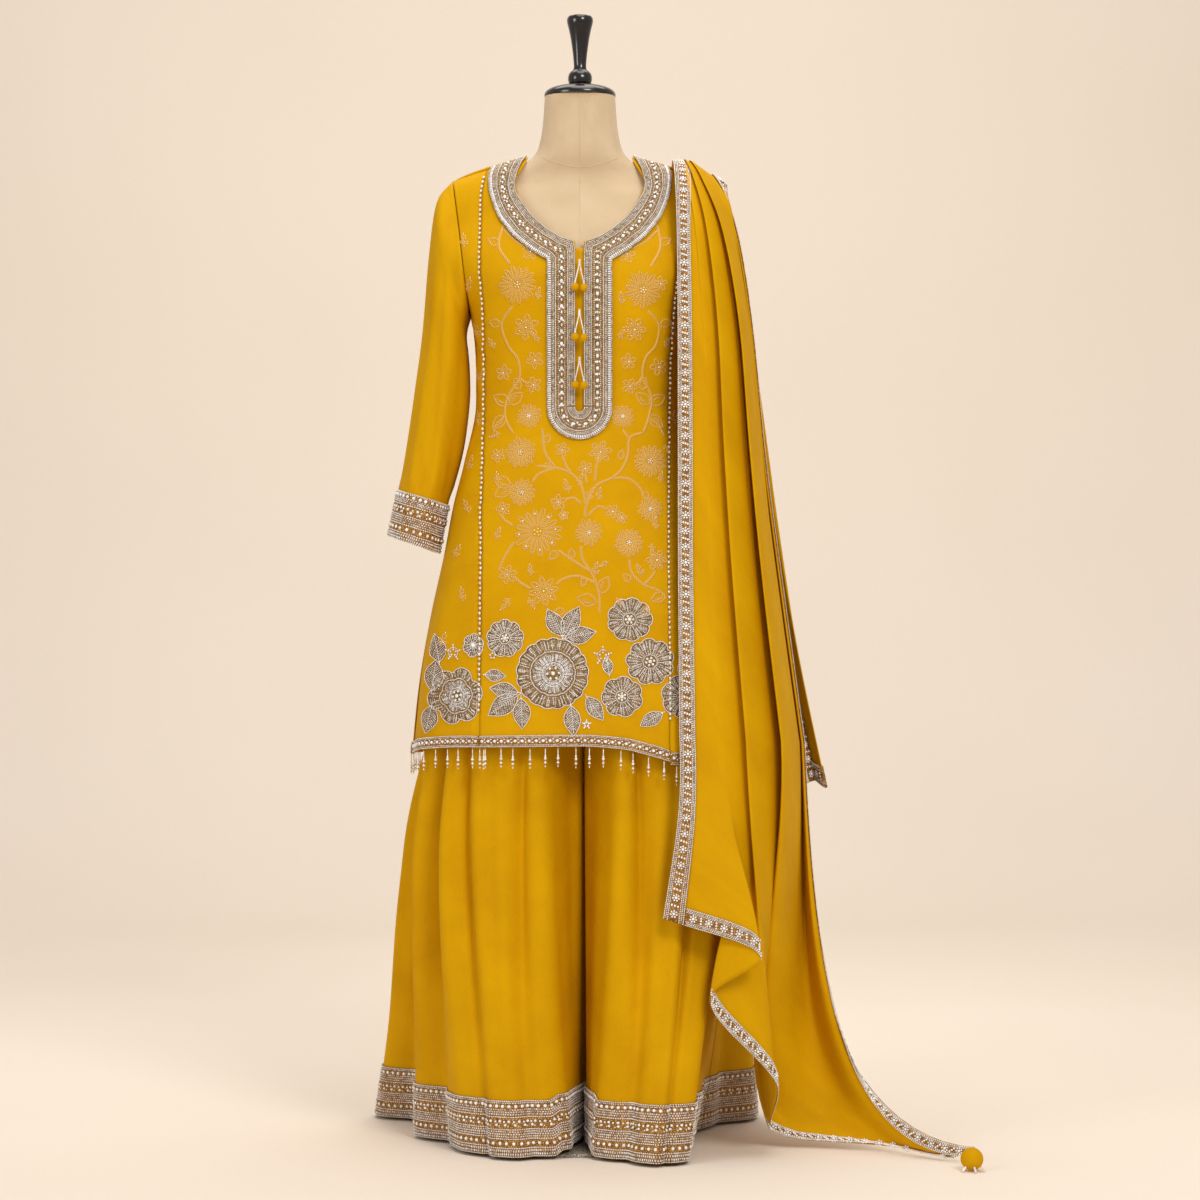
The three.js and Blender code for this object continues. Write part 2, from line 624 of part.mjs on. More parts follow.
// ---- dupatta ------------------------------------------------------------------------------
// Sections across the dupatta, from the front down over the shoulder to the back: its inner
// edge, the place that its curve bends round, its outer edge, the height of its pleats, and the
// share of the section that the flat border takes.
const DUPATTA = [
  { inner: [137, -160, 575], bend: [300, -172, 575], outer: [322, 45, 560], pleat: 12, edge: 0.07 },
  { inner: [136, -134, 800], bend: [272, -148, 800], outer: [290, 45, 790], pleat: 11, edge: 0.08 },
  { inner: [136, -120, 980], bend: [256, -134, 980], outer: [264, 30, 970], pleat: 10, edge: 0.09 },
  { inner: [136, -110, 1150], bend: [240, -122, 1150], outer: [247, 20, 1140], pleat: 8, edge: 0.1 },
  { inner: [135, -96, 1285], bend: [212, -106, 1282], outer: [231, 2, 1262], pleat: 6, edge: 0.13 },
  { inner: [133, -56, 1358], bend: [188, -62, 1356], outer: [218, -6, 1326], pleat: 4, edge: 0.22 },
  { inner: [131, 2, 1390], bend: [172, 2, 1386], outer: [208, 4, 1356], pleat: 3, edge: 0.29 },
  { inner: [130, 60, 1358], bend: [188, 64, 1356], outer: [219, 20, 1326], pleat: 4, edge: 0.22 },
  { inner: [128, 102, 1270], bend: [205, 112, 1268], outer: [233, 36, 1250], pleat: 6, edge: 0.13 },
  { inner: [126, 114, 1100], bend: [230, 130, 1100], outer: [250, 56, 1090], pleat: 8, edge: 0.1 },
  { inner: [126, 144, 900], bend: [250, 168, 900], outer: [275, 84, 890], pleat: 10, edge: 0.09 },
  { inner: [134, 180, 700], bend: [282, 204, 700], outer: [310, 104, 690], pleat: 12, edge: 0.08 },
  { inner: [150, 200, 560], bend: [315, 222, 535], outer: [350, 118, 500], pleat: 13, edge: 0.07 },
];
// The front end, from its inner corner to the tail: where it lies, and the way it runs there.
const FRONT_END = [
  { u: 0, x: 114, y: -190, z: 334, way: [-0.15, 0, -1] },
  { u: 0.175, x: 247, y: -204, z: 280, way: [0.1, 0, -1] },
  { u: 0.288, x: 178, y: -184, z: 222, way: [-0.1, 0.05, -1] },
  { u: 0.487, x: 271, y: -150, z: 92, way: [0.1, 0, -1] },
  { u: 0.61, x: 264, y: -70, z: 30, way: [0.3, -0.1, -0.9] },
  { u: 0.682, x: 318, y: -74, z: 12, way: [0.7, -0.3, -0.4] },
  { u: 0.794, x: 408, y: -98, z: 10, way: [0.8, -0.5, -0.1] },
  { u: 0.878, x: 468, y: -134, z: 9, way: [0.8, -0.55, -0.05] },
  { u: 0.957, x: 512, y: -180, z: 8, way: [0.8, -0.55, -0.02] },
  { u: 1, x: 538, y: -198, z: 24, way: [0.8, -0.5, 0.05] },
];
const DUPATTA_WIDTH = 830;
const EDGE_U = BORDER / DUPATTA_WIDTH;
const PLEATS = 5;
const END_ROW = 0.12; // rows up to this one are the end's border
const SHOULDER_ROW = 7;
const BACK_ROW = DUPATTA.length;

function dupattaSection(i, u) {
  const row = DUPATTA[Math.min(Math.max(i, 0), DUPATTA.length - 1)];
  let s = mix(row.edge, 1 - row.edge, (u - EDGE_U) / (1 - 2 * EDGE_U));
  if (u < EDGE_U) s = (row.edge * u) / EDGE_U;
  if (u > 1 - EDGE_U) s = 1 - (row.edge * (1 - u)) / EDGE_U;
  const curve = (t) => [0, 1, 2].map((axis) =>
    (1 - t) ** 2 * row.inner[axis] + 2 * t * (1 - t) * row.bend[axis] + t ** 2 * row.outer[axis]);
  const p = curve(s);
  const next = curve(s + 1e-3);
  const length = Math.hypot(next[0] - p[0], next[1] - p[1], next[2] - p[2]);
  const flat = smooth((s - row.edge) / 0.12) * smooth((1 - row.edge - s) / 0.12);
  const rise = row.pleat * flat * Math.sin(2 * Math.PI * PLEATS * u - 1.2);
  const top = i >= SHOULDER_ROW - 2 && i <= SHOULDER_ROW ? 1 : 0;
  const away = top ? [0, 0, 1] : [(next[1] - p[1]) / length, -(next[0] - p[0]) / length, 0];
  const back = i > SHOULDER_ROW - 1 && !top ? -1 : 1;
  return p.map((value, axis) => value + rise * away[axis] * back);
}

function dupattaPoint(u, row) {
  if (row >= 1) return along(DUPATTA.map((_, i) => dupattaSection(i, u)), row - 1);
  const start = dupattaSection(0, u);
  const end = ['x', 'y', 'z'].map((name) => column(FRONT_END, 'u', name, clamp01(u)));
  const k = Math.max(0, FRONT_END.findIndex((place) => place.u >= clamp01(u)) - 1);
  const t = (clamp01(u) - FRONT_END[k].u) / (FRONT_END[k + 1].u - FRONT_END[k].u);
  const way = FRONT_END[k].way.map((value, axis) => mix(value, FRONT_END[k + 1].way[axis], t));
  const reach = Math.hypot(...start.map((value, axis) => value - end[axis]));
  const last = end.map((value, axis) => value - way[axis] * reach * 0.35);
  const first = [start[0] + 0.02 * reach, start[1], start[2] - 0.42 * reach];
  const edge = BORDER / (reach * 1.05);
  const g = row < END_ROW ? (row / END_ROW) * edge : mix(edge, 1, (row - END_ROW) / (1 - END_ROW));
  return [0, 1, 2].map((axis) =>
    (1 - g) ** 3 * end[axis] + 3 * g * (1 - g) ** 2 * last[axis] +
    3 * g ** 2 * (1 - g) * first[axis] + g ** 3 * start[axis]);
}

// ---- the whole set ------------------------------------------------------------------------
const suit = new THREE.Group();
const mustard = material(MUSTARD, 0.75);
const beads = material(BEAD, 0.4, 0.3);
const pearls = material(PEARL, 0.3);

function add(name, geometry, finish) {
  const mesh = new THREE.Mesh(geometry, finish);
  mesh.name = name;
  suit.add(mesh);
}

function addForm() {
  const jersey = material(JERSEY, 0.9);
  const lacquer = material(LACQUER, 0.15);
  const steel = material(STEEL, 0.4, 0.8);
  add('form_torso', loft(FORM, FORM_SIDES, formRing), jersey);
  const cap = [[0, 1481.5], [50.5, 1481.5], [51, 1486], [46, 1493], [30, 1498.5], [15, 1500.5], [0, 1500.5]];
  const finial = [
    [0, 1501], [15, 1502], [17, 1508], [15.5, 1515], [10, 1519], [9, 1530], [12, 1556],
    [17, 1580], [19, 1590], [16, 1596], [8, 1598], [0, 1598],
  ];
  const base = [[0, 0], [BASE_R - 2, 0], [BASE_R, 2], [BASE_R - 2, BASE_H], [0, BASE_H]];
  add('form_neck_cap', turned(cap, 28), lacquer);
  add('form_finial', turned(finial, 20), lacquer);
  const pole = new THREE.CylinderGeometry(POLE_R, POLE_R, FORM[0].z - BASE_H - 0.6, 16);
  pole.rotateX(Math.PI / 2);
  pole.translate(0, 0, (FORM[0].z + BASE_H) / 2);
  add('stand_pole', pole, steel);
  add('stand_base', turned(base, 40), steel);
}

function addKameez() {
  const centre = { us: CENTRE_COLUMNS, point: centreFront, out: 1 };
  add('kameez_centre_front', wall({ ...centre, vs: rowsTo(TOP_ROW), cell: centreCell }), mustard);
  add('kameez_hem_band_centre', wall({ ...centre, vs: [0, 1], thick: BAND, lift: LIFT }), beads);
  const underlap = (s, z) => frontPoint(s, z);
  add('kameez_slit_underlap', wall({
    us: [-22, 0, 22], vs: [1008, 1030, 1080, 1125, 1167, 1190, 1211, 1235, 1256], point: underlap,
    lift: -CLOTH - 1.4,
  }), mustard);
  for (const [name, side] of [['right', -1], ['left', 1]]) {
    const point = (s, row) => sideFront(side, s, row);
    const panel = { us: [0, 0.34, 0.67, 1], point, out: side };
    add(`kameez_side_front_${name}`, wall({ ...panel, vs: rowsTo(TOP_ROW) }), mustard);
    add(`kameez_hem_band_${name}`, wall({ ...panel, vs: [0, 1], thick: BAND, lift: LIFT }), beads);
    const seamX = (z) => side * column(SEAMS, 'z', name, z);
    const piping = (s, z) => frontPoint(seamX(z) + s, z);
    add(`pearl_piping_${name}`, wall({
      us: [-1.4, 1.4], vs: [600, 700, 800, 900, 1000, 1060, 1120, 1170, 1210, 1250, 1290, 1325, 1350, 1366],
      point: piping, thick: 2.8, lift: CLOTH / 2 + 1.6 + 1.4,
    }), pearls);
  }
  const back = { us: BACK_COLUMNS, point: backPanel, out: -1 };
  add('kameez_back', wall({ ...back, vs: rowsTo(TOP_ROW) }), mustard);
  add('kameez_hem_band_back', wall({ ...back, vs: [0, 1], thick: BAND, lift: LIFT }), beads);
  add('neck_band', wall({
    us: rowsTo(2 * BAND_ENDS), vs: [0, 0.5, 1], point: neckBandPoint, out: -1, thick: BAND, lift: NECK_LIFT,
  }), beads);
  add('neck_band_back', wall({
    ...back, us: BACK_COLUMNS.slice(3, -3), vs: [TOP_ROW - 1, TOP_ROW], thick: BAND, lift: LIFT,
  }), beads);
}

// The bead drops under each hem, as a plain curtain of their reach.
function addFringes() {
  const curtain = (point) => (u, drop) => {
    const p = point(u, 0);
    return [p[0], p[1], p[2] - 0.6 - drop];
  };
  const shape = { vs: [FRINGE, 0], thick: 3, lift: 0.6 };
  add('bead_fringe_centre', wall({ ...shape, us: CENTRE_COLUMNS, point: curtain(centreFront) }), pearls);
  for (const [name, side] of [['right', -1], ['left', 1]]) {
    const point = curtain((s, row) => sideFront(side, s, row));
    add(`bead_fringe_${name}`, wall({ ...shape, us: [0.03, 0.34, 0.67, 1], point, out: side }), pearls);
  }
  add('bead_fringe_back', wall({ ...shape, us: BACK_COLUMNS, point: curtain(backPanel), out: -1 }), pearls);
}

function addSleeves() {
  for (const [name, side] of [['right', -1], ['left', 1]]) {
    const point = (turn, at) => sleevePoint(side, turn, at);
    const tube = { us: span(0, 2 * Math.PI, 12), point, out: side, wrap: true };
    const rows = [0, 0.4, 0.8, 1.3, 2, 3.5, 5, 6, CUFF_ROW, SLEEVE_END];
    add(`sleeve_${name}`, wall({ ...tube, vs: rows }), mustard);
    add(`cuff_band_${name}`, wall({ ...tube, vs: [CUFF_ROW, SLEEVE_END], thick: BAND, lift: LIFT }), beads);
  }
}

function addTrousers() {
  const gap = 0.012; // half of a seam, in stations
  const rows = rowsTo(LEG_ROWS.length + 1);
  const bandRows = rows.slice(-2);
  for (const [name, side] of [['right', -1], ['left', 1]]) {
    const point = (at, row) => legPoint(side, at, row);
    for (const [face, from] of [['front', 0], ['back', SIDE_STATION]]) {
      const us = FOLD_COLUMNS.map((at) => from + Math.min(Math.max(at, gap), SIDE_STATION - gap));
      const panel = { us, point, out: -side };
      add(`trouser_${name}_${face}`, wall({ ...panel, vs: rows }), mustard);
      add(`trouser_band_${name}_${face}`, wall({ ...panel, vs: bandRows, thick: BAND, lift: LIFT }), beads);
    }
  }
  const waist = (turn, z) => {
    const side = boxiness(turn);
    const depth = column(TROUSERS, 'z', Math.cos(turn) > 0 ? 'front' : 'back', z);
    return [column(TROUSERS, 'z', 'half', z) * Math.sin(turn) * side, -depth * Math.cos(turn) * side, z];
  };
  add('trouser_waistband', wall({
    us: span(0, 2 * Math.PI, 24), vs: [WAIST_Z + SEAM + 0.6, 1010], point: waist, wrap: true, thick: 2,
  }), mustard);
}

function addDupatta() {
  const inner = [0, EDGE_U];
  const outer = [1 - EDGE_U, 1];
  const across = [...inner, ...span(EDGE_U, 1 - EDGE_U, 18).slice(1, -1), ...outer];
  const rows = [
    0, END_ROW, 0.3, 0.5, 0.75, 1, 2, 3, 4, 5, 5.5, 6, 6.5, 7, 7.5, 8, 9, 10, 11, 12, BACK_ROW - 0.16, BACK_ROW,
  ];
  const cloth = { point: dupattaPoint, out: 1 };
  add('dupatta', wall({ ...cloth, us: across, vs: rows }), mustard);
  const band = { ...cloth, thick: BAND, lift: LIFT };
  add('dupatta_border_inner', wall({ ...band, us: inner, vs: rows }), beads);
  add('dupatta_border_outer', wall({ ...band, us: outer, vs: rows }), beads);
  const middle = across.slice(1, -1);
  middle[0] += 0.0008;
  middle[middle.length - 1] -= 0.0008;
  add('dupatta_border_front_end', wall({ ...band, us: middle, vs: [0, END_ROW] }), beads);
  add('dupatta_border_back_end', wall({ ...band, us: middle, vs: [BACK_ROW - 0.16, BACK_ROW] }), beads);
}

// A ball tassel: cloth balls hung under a bead cap by short bead strings, joined to one solid.
function ballTassel(top, balls, radius) {
  const ball = (centre, size) => {
    const sphere = new THREE.SphereGeometry(size, 9, 6);
    sphere.translate(...centre);
    return asManifold(sphere);
  };
  let solid = ball(top, 3);
  for (const centre of balls) {
    const from = new THREE.Vector3(...top);
    const to = new THREE.Vector3(...centre);
    const string = new THREE.CylinderGeometry(1.1, 1.1, from.distanceTo(to), 6);
    const turn = new THREE.Quaternion().setFromUnitVectors(
      new THREE.Vector3(0, 1, 0), to.clone().sub(from).normalize());
    string.applyQuaternion(turn);
    const middle = from.clone().add(to).multiplyScalar(0.5);
    string.translate(middle.x, middle.y, middle.z);
    solid = solid.add(asManifold(string)).add(ball(centre, radius));
  }
  return asGeometry(solid);
}

function addTassels() {
  [1235, 1166, 1101].forEach((top, k) => {
    const y = frontPoint(0, top)[1] - 11;
    const low = top - 36;
    const lowY = Math.min(y, frontPoint(0, low)[1] - 11);
    const balls = [[-6, lowY, low], [6, lowY, low - 1]];
    add(`slit_tassel_${k + 1}`, ballTassel([0, y, top], balls, 5.7), mustard);
  });
  add('corner_tassel', ballTassel([541, -203, 20], [[528, -246, 16.2]], 15.5), mustard);
}

addForm();
addKameez();
addFringes();
addSleeves();
addTrousers();
addDupatta();
addTassels();

export default suit;
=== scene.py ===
"""Salwar kameez suit on a dress form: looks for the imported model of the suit.

The shapes below are worked out in millimetres, +Z up, the front faces -Y and the wearer's right
is -X, and are made metres when a mesh is built.
"""

import math

import bpy
import numpy as np
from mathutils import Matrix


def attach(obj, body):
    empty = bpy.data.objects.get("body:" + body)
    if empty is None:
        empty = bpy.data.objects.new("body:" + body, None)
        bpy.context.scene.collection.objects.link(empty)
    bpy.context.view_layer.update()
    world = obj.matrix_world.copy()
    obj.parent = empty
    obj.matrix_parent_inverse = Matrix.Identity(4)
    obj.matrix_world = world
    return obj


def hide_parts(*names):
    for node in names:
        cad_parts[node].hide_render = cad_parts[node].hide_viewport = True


bl_info = {
    "name": "Salwar Kameez Suit",
    "version": (1, 0, 0),
    "blender": (4, 5, 0),
    "location": "3D View > Sidebar > Suit",
    "description": "Builds a beaded salwar kameez suit with a dupatta on a limbless dress form",
    "category": "Object",
}

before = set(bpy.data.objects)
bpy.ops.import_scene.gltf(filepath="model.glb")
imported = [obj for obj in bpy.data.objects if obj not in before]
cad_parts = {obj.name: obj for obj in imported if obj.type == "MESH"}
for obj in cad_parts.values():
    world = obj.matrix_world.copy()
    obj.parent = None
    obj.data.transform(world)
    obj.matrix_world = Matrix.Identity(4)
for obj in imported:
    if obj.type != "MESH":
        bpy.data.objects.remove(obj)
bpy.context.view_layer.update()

# ---- driving sizes in millimetres -----------------------------------------------------------
MM = 0.001
RIDGE_Z = 1396  # shoulder line at the neck
RIDGE_X = 74
SHOULDER_DROP = 0.32
UNDERARM_Z = 1167
SHOULDER_X = 180
SLIT_TOP_Z = 815
SLIT_HALF = 6
SLIT_END_Z = 1030
PLACKET_HALF = 45
PLACKET_END_Z = 988
HEM_BAND = 16
HIP_Z = 712
CROTCH_Z = 645
WAIST_Z = 985
LEG_BAND = 77
BASE_R = 148
BASE_H = 6
BORDER = 25
SEAM = 0.4


# ---- tables and smooth curves ---------------------------------------------------------------
def table(names, *rows):
    """Columns of a short table, by name."""
    return {name: np.array(values, float) for name, values in zip(names.split(), zip(*rows))}


def mix(a, b, t):
    return a + (b - a) * t


def smooth(t):
    t = np.clip(t, 0.0, 1.0)
    return t * t * (3 - 2 * t)


def column(rows, key, name, at):
    """Smooth value of one column at a key: monotone cubic, held flat past both ends."""
    x, y = rows[key], rows[name]
    if x[0] > x[-1]:
        x, y = x[::-1], y[::-1]
    at = np.clip(at, x[0], x[-1])
    slope = np.diff(y) / np.diff(x)
    before, after = slope[:-1], slope[1:]
    total = np.where(before * after > 0, before + after, 1.0)
    inner = np.where(before * after > 0, 2 * before * after / total, 0.0)
    tangent = np.concatenate([slope[:1], inner, slope[-1:]])
    i = np.clip(np.searchsorted(x, at, side="right") - 1, 0, len(x) - 2)
    width = x[i + 1] - x[i]
    t = (at - x[i]) / width
    return (
        (2 * t**3 - 3 * t**2 + 1) * y[i]
        + (t**3 - 2 * t**2 + t) * width * tangent[i]
        + (3 * t**2 - 2 * t**3) * y[i + 1]
        + (t**3 - t**2) * width * tangent[i + 1]
    )


def spline(a, b, c, d, t):
    """Catmull-Rom blend of four values."""
    return 0.5 * (2 * b + (c - a) * t + (2 * a - 5 * b + 4 * c - d) * t**2 + (3 * b - a - 3 * c + d) * t**3)


def along(points, at):
    """Points at fractional places along a stack of point grids."""
    points = np.concatenate([[2 * points[0] - points[1]], points, [2 * points[-1] - points[-2]]])
    i = np.clip(np.floor(at).astype(int), 0, len(points) - 4)
    pick = [np.take_along_axis(points, (i + k)[None, ..., None], axis=0)[0] for k in range(4)]
    return spline(*pick, (at - i)[..., None])


def curve_through(points, steps=8):
    """A smooth line through a short list of places, as an array of places."""
    points = np.array(points, float)
    at = np.linspace(0, len(points) - 1, (len(points) - 1) * steps + 1)
    return along(points[:, None, :].repeat(len(at), 1), at)


def point_of(x, y, z):
    return np.stack(np.broadcast_arrays(x, y, z), -1)


def unit(v):
    return v / np.maximum(np.linalg.norm(v, axis=-1, keepdims=True), 1e-12)


# ---- kameez body ----------------------------------------------------------------------------
BODY = table(
    "z half front back",
    (545, 238, 162, 179),
    (643, 228, 152, 162),
    (747, 211, 140, 150),
    (834, 192, 130, 142),
    (902, 179, 119, 128),
    (957, 165, 111, 112),
    (1050, 147, 101, 90),
    (1100, 147, 108, 90),
    (1167, 154, 120, 94),
    (1214, 178, 121, 95),
    (1250, 195, 109, 93),
    (1285, 198, 91, 86),
    (1320, 198, 71, 74),
    (1350, 198, 55, 60),
    (1370, 198, 42, 46),
    (1384, 198, 28, 31),
    (1392, 198, 13, 14),
    (1396, 198, 0, 0),
)
SEAMS = table(
    "z right left",
    (560, 137, 122),
    (700, 137, 122),
    (900, 136, 123),
    (1080, 133, 125),
    (1167, 134, 130),
    (1240, 139, 137),
    (1330, 139, 139),
    (1385, 131, 131),
)
ARMHOLE = table("z x", (1167, 154), (1190, 157), (1230, 162), (1300, 171), (1362, 180))
HEM = table(
    "x z", (-235, 550), (-139, 564), (0, 566), (60, 562), (100, 552), (140, 541), (235, 548)
)
KAMEEZ_FOLDS = table(
    "angle width depth",
    (-78, 9, -4),
    (-48, 8, -6),
    (-22, 10, 5),
    (6, 9, -6),
    (30, 9, 5),
    (52, 8, -6),
    (76, 9, -5),
    (105, 10, 4),
    (132, 10, 6),
    (158, 9, -8),
    (184, 10, 6),
    (210, 9, -7),
    (236, 8, -4),
    (258, 9, 4),
)
# Small creases of the worn kameez: place round the front and level, lean of the crease from the
# upright, half length, half width and height.
CREASES = table(
    "angle z lean long wide deep",
    (-66, 1130, -50, 60, 7, 2.2),
    (-58, 1105, -62, 48, 6, -1.8),
    (-72, 1085, -40, 44, 6, 1.8),
    (64, 1138, 48, 56, 7, 2.2),
    (58, 1112, 60, 44, 6, -1.8),
    (70, 1084, 38, 44, 6, 1.7),
    (-36, 1012, 70, 40, 7, 1.4),
    (-30, 985, 66, 46, 7, -1.3),
    (34, 1004, -68, 44, 7, 1.4),
    (-70, 990, 20, 60, 8, 1.8),
    (66, 978, -22, 62, 8, 1.8),
    (-44, 880, 14, 80, 9, 1.6),
    (22, 800, -9, 90, 10, 1.5),
    (-14, 700, 8, 90, 11, 1.6),
    (44, 720, -12, 84, 9, -1.8),
    (-62, 700, 16, 84, 9, 2.0),
    (160, 1075, -55, 60, 8, 2.0),
    (200, 1068, 55, 58, 8, 2.0),
    (172, 1010, -75, 70, 8, -1.8),
    (188, 985, 72, 66, 8, 1.8),
    (150, 860, 8, 120, 11, 2.0),
    (214, 840, -9, 110, 11, 2.0),
)


def boxiness(turn):
    return 1 + 0.07 * np.sin(2 * turn) ** 2


def ridge_drop(x):
    return np.maximum(0, np.abs(x) - RIDGE_X) * SHOULDER_DROP


def wrapped(angle):
    return (angle + 540) % 360 - 180


def creased(angle, z):
    """Height of the listed creases and of the puckers beside the princess seams."""
    total = np.zeros(np.broadcast(angle, z).shape)
    for a, level, lean, long, wide, deep in zip(*(CREASES[k] for k in ("angle", "z", "lean", "long", "wide", "deep"))):
        across = wrapped(angle - a) * 2.7
        up = z - level
        tilt = math.radians(lean)
        off = across * math.cos(tilt) - up * math.sin(tilt)
        run = across * math.sin(tilt) + up * math.cos(tilt)
        total = total + deep * np.exp(-((off / wide) ** 2) - (run / long) ** 2)
    return total


def body(angle, z):
    """A place on the kameez: 0 is the middle of the front, 90 the wearer's left side."""
    angle, z = np.broadcast_arrays(np.asarray(angle, float), np.asarray(z, float))
    turn = np.radians(angle)
    side = boxiness(turn)
    x = column(BODY, "z", "half", z) * np.sin(turn) * side
    level = z + ridge_drop(x) * smooth((z - 1230) / 80)
    depth = np.where(np.cos(turn) > 0, column(BODY, "z", "front", level), column(BODY, "z", "back", level))
    fold = np.zeros(angle.shape)
    for a, width, deep in zip(KAMEEZ_FOLDS["angle"], KAMEEZ_FOLDS["width"], KAMEEZ_FOLDS["depth"]):
        fold += deep * np.exp(-((wrapped(angle - a) / width) ** 2))
    fold = fold * smooth((930 - z) / 340) + creased(angle, z)
    seam = np.where(x < 0, column(SEAMS, "z", "right", z), column(SEAMS, "z", "left", z))
    near = np.exp(-(((np.abs(x) - seam) / 11) ** 2)) * (np.cos(turn) > 0) * smooth((1300 - z) / 60)
    fold = fold + 0.55 * near * np.sin(z / 3.4 + 2 * np.sin(z / 23))
    return point_of(x + fold * np.sin(turn), -depth * np.cos(turn) * side - fold * np.cos(turn), z)


def angle_at(x, z):
    """The angle at which the front of the kameez reaches x at a level."""
    x, z = np.broadcast_arrays(np.asarray(x, float), np.asarray(z, float))
    half = column(BODY, "z", "half", z)
    low, high = np.full(x.shape, -90.0), np.full(x.shape, 90.0)
    for _ in range(30):
        middle = (low + high) / 2
        turn = np.radians(middle)
        short = half * np.sin(turn) * boxiness(turn) < x
        low, high = np.where(short, middle, low), np.where(short, high, middle)
    return (low + high) / 2


def front_point(x, z):
    return body(angle_at(x, z), z)


def hem_at(x):
    return column(HEM, "x", "z", x)


# ---- kameez panels --------------------------------------------------------------------------
NECKLINE = table("x z", (0, 1265), (9, 1265), (26, 1270), (46, 1283), (66, 1301), (82, 1326), (91, 1352))
NECK_X = 91
NECK_Z = 1352
BACK_NECK_DIP = 45
LEVELS = [0, HEM_BAND, 660, 740, SLIT_TOP_Z, 900, PLACKET_END_Z, SLIT_END_Z, 1080, 1125, UNDERARM_Z]
UNDERARM_ROW = len(LEVELS) - 1
NECK_ROW = UNDERARM_ROW + 4
TOP_ROW = NECK_ROW + 3
SLIT_ROW = LEVELS.index(SLIT_END_Z)


def ridge_at(x):
    return RIDGE_Z - 0.6 - ridge_drop(x)


def level_of(row, x, neck, top):
    """Level of a fractional row at a place across, where neck is the level of the neck row."""
    hem = hem_at(x)
    z = np.interp(row, range(UNDERARM_ROW + 1), LEVELS)
    z = np.where(row < 2, mix(hem + HEM_BAND, LEVELS[2], row - 1), z)
    z = np.where(row < 1, hem + HEM_BAND * row, z)
    share = (row - UNDERARM_ROW) / (NECK_ROW - UNDERARM_ROW)
    z = np.where(row > UNDERARM_ROW, mix(UNDERARM_Z, neck, share), z)
    strap = np.interp(row - NECK_ROW, [0, 1, 2, 3], [0, 0.55, 0.84, 1])
    return np.where(row > NECK_ROW, mix(neck, top, strap), z)


def centre_x(q, z):
    """Place across the centre front: q is 1 at the neckline's widest place and 1.5 at the seam."""
    seam = np.where(q < 0, column(SEAMS, "z", "right", z), column(SEAMS, "z", "left", z)) - SEAM / 2
    neck = mix(NECK_X, RIDGE_X, smooth((z - NECK_Z) / (RIDGE_Z - NECK_Z)))
    size = np.where(np.abs(q) <= 1, np.abs(q) * neck, mix(neck, seam, (np.abs(q) - 1) / 0.5))
    return np.sign(q) * size


def centre_front(q, row):
    neck = column(NECKLINE, "x", "z", np.minimum(1, np.abs(q)) * NECK_X)
    top_x = mix(RIDGE_X, 131, (np.abs(q) - 1) / 0.5)
    z = level_of(row, centre_x(q, 700.0), neck, ridge_at(top_x))
    return front_point(centre_x(q, z), z)


def reach_of(z):
    """Half angle that a panel reaches to: the side seam, armhole or edge of the side slit."""
    gap = np.degrees(SEAM / 2 / column(BODY, "z", "half", z))
    side = 90 - gap - 4 * smooth((SLIT_TOP_Z - z) / 240)
    return np.where(z > UNDERARM_Z, angle_at(column(ARMHOLE, "z", "x", z), z) - gap, side)


def side_front(side, s, row):
    """Side front: s is 0 at the princess seam and 1 at the side seam or armhole."""
    z = level_of(row, side * mix(135, 230, s), NECK_Z, ridge_at(mix(131, SHOULDER_X, s)))
    seam = column(SEAMS, "z", "right" if side < 0 else "left", z) + SEAM / 2
    return body(side * mix(angle_at(seam, z), reach_of(z), s), z)


def back_panel(p, row):
    """Back: p is -1 at the wearer's right side and 1 at the left."""
    top_x = np.abs(p) * SHOULDER_X
    dip = BACK_NECK_DIP * np.maximum(0, 1 - (top_x / RIDGE_X) ** 4)
    neck = mix(UNDERARM_Z, ridge_at(top_x) - dip, 0.78)
    z = level_of(row, 235, neck, ridge_at(top_x) - dip)
    return body(180 - p * reach_of(z), z)


NECK_BAND = table(
    "in_x in_z out_x out_z",
    (74.5, 1394, 125, 1377.5),
    (80, 1385, 127.5, 1370),
    (86, 1372, 129, 1360),
    (91, 1352, 127, 1342),
    (88.5, 1338, 121, 1321),
    (82, 1326, 112, 1299),
    (66, 1301, 92, 1272),
    (46, 1283, 68, 1251),
    (26, 1270, PLACKET_HALF, 1237),
    (8, 1264, PLACKET_HALF, 1230),
    (SLIT_HALF, 1250, PLACKET_HALF, 1222),
    (SLIT_HALF, 1235, PLACKET_HALF, 1205),
    (SLIT_HALF, 1211, PLACKET_HALF, 1190),
    (SLIT_HALF, 1180, PLACKET_HALF, 1172),
    (SLIT_HALF, 1145, PLACKET_HALF, 1145),
    (SLIT_HALF, 1090, PLACKET_HALF, 1090),
    (SLIT_HALF, 1038, PLACKET_HALF, 1034),
    (4.3, 1030, 32, 1000),
    (0, 1028, 0, PLACKET_END_Z),
)
BAND_ENDS = len(NECK_BAND["in_x"]) - 1


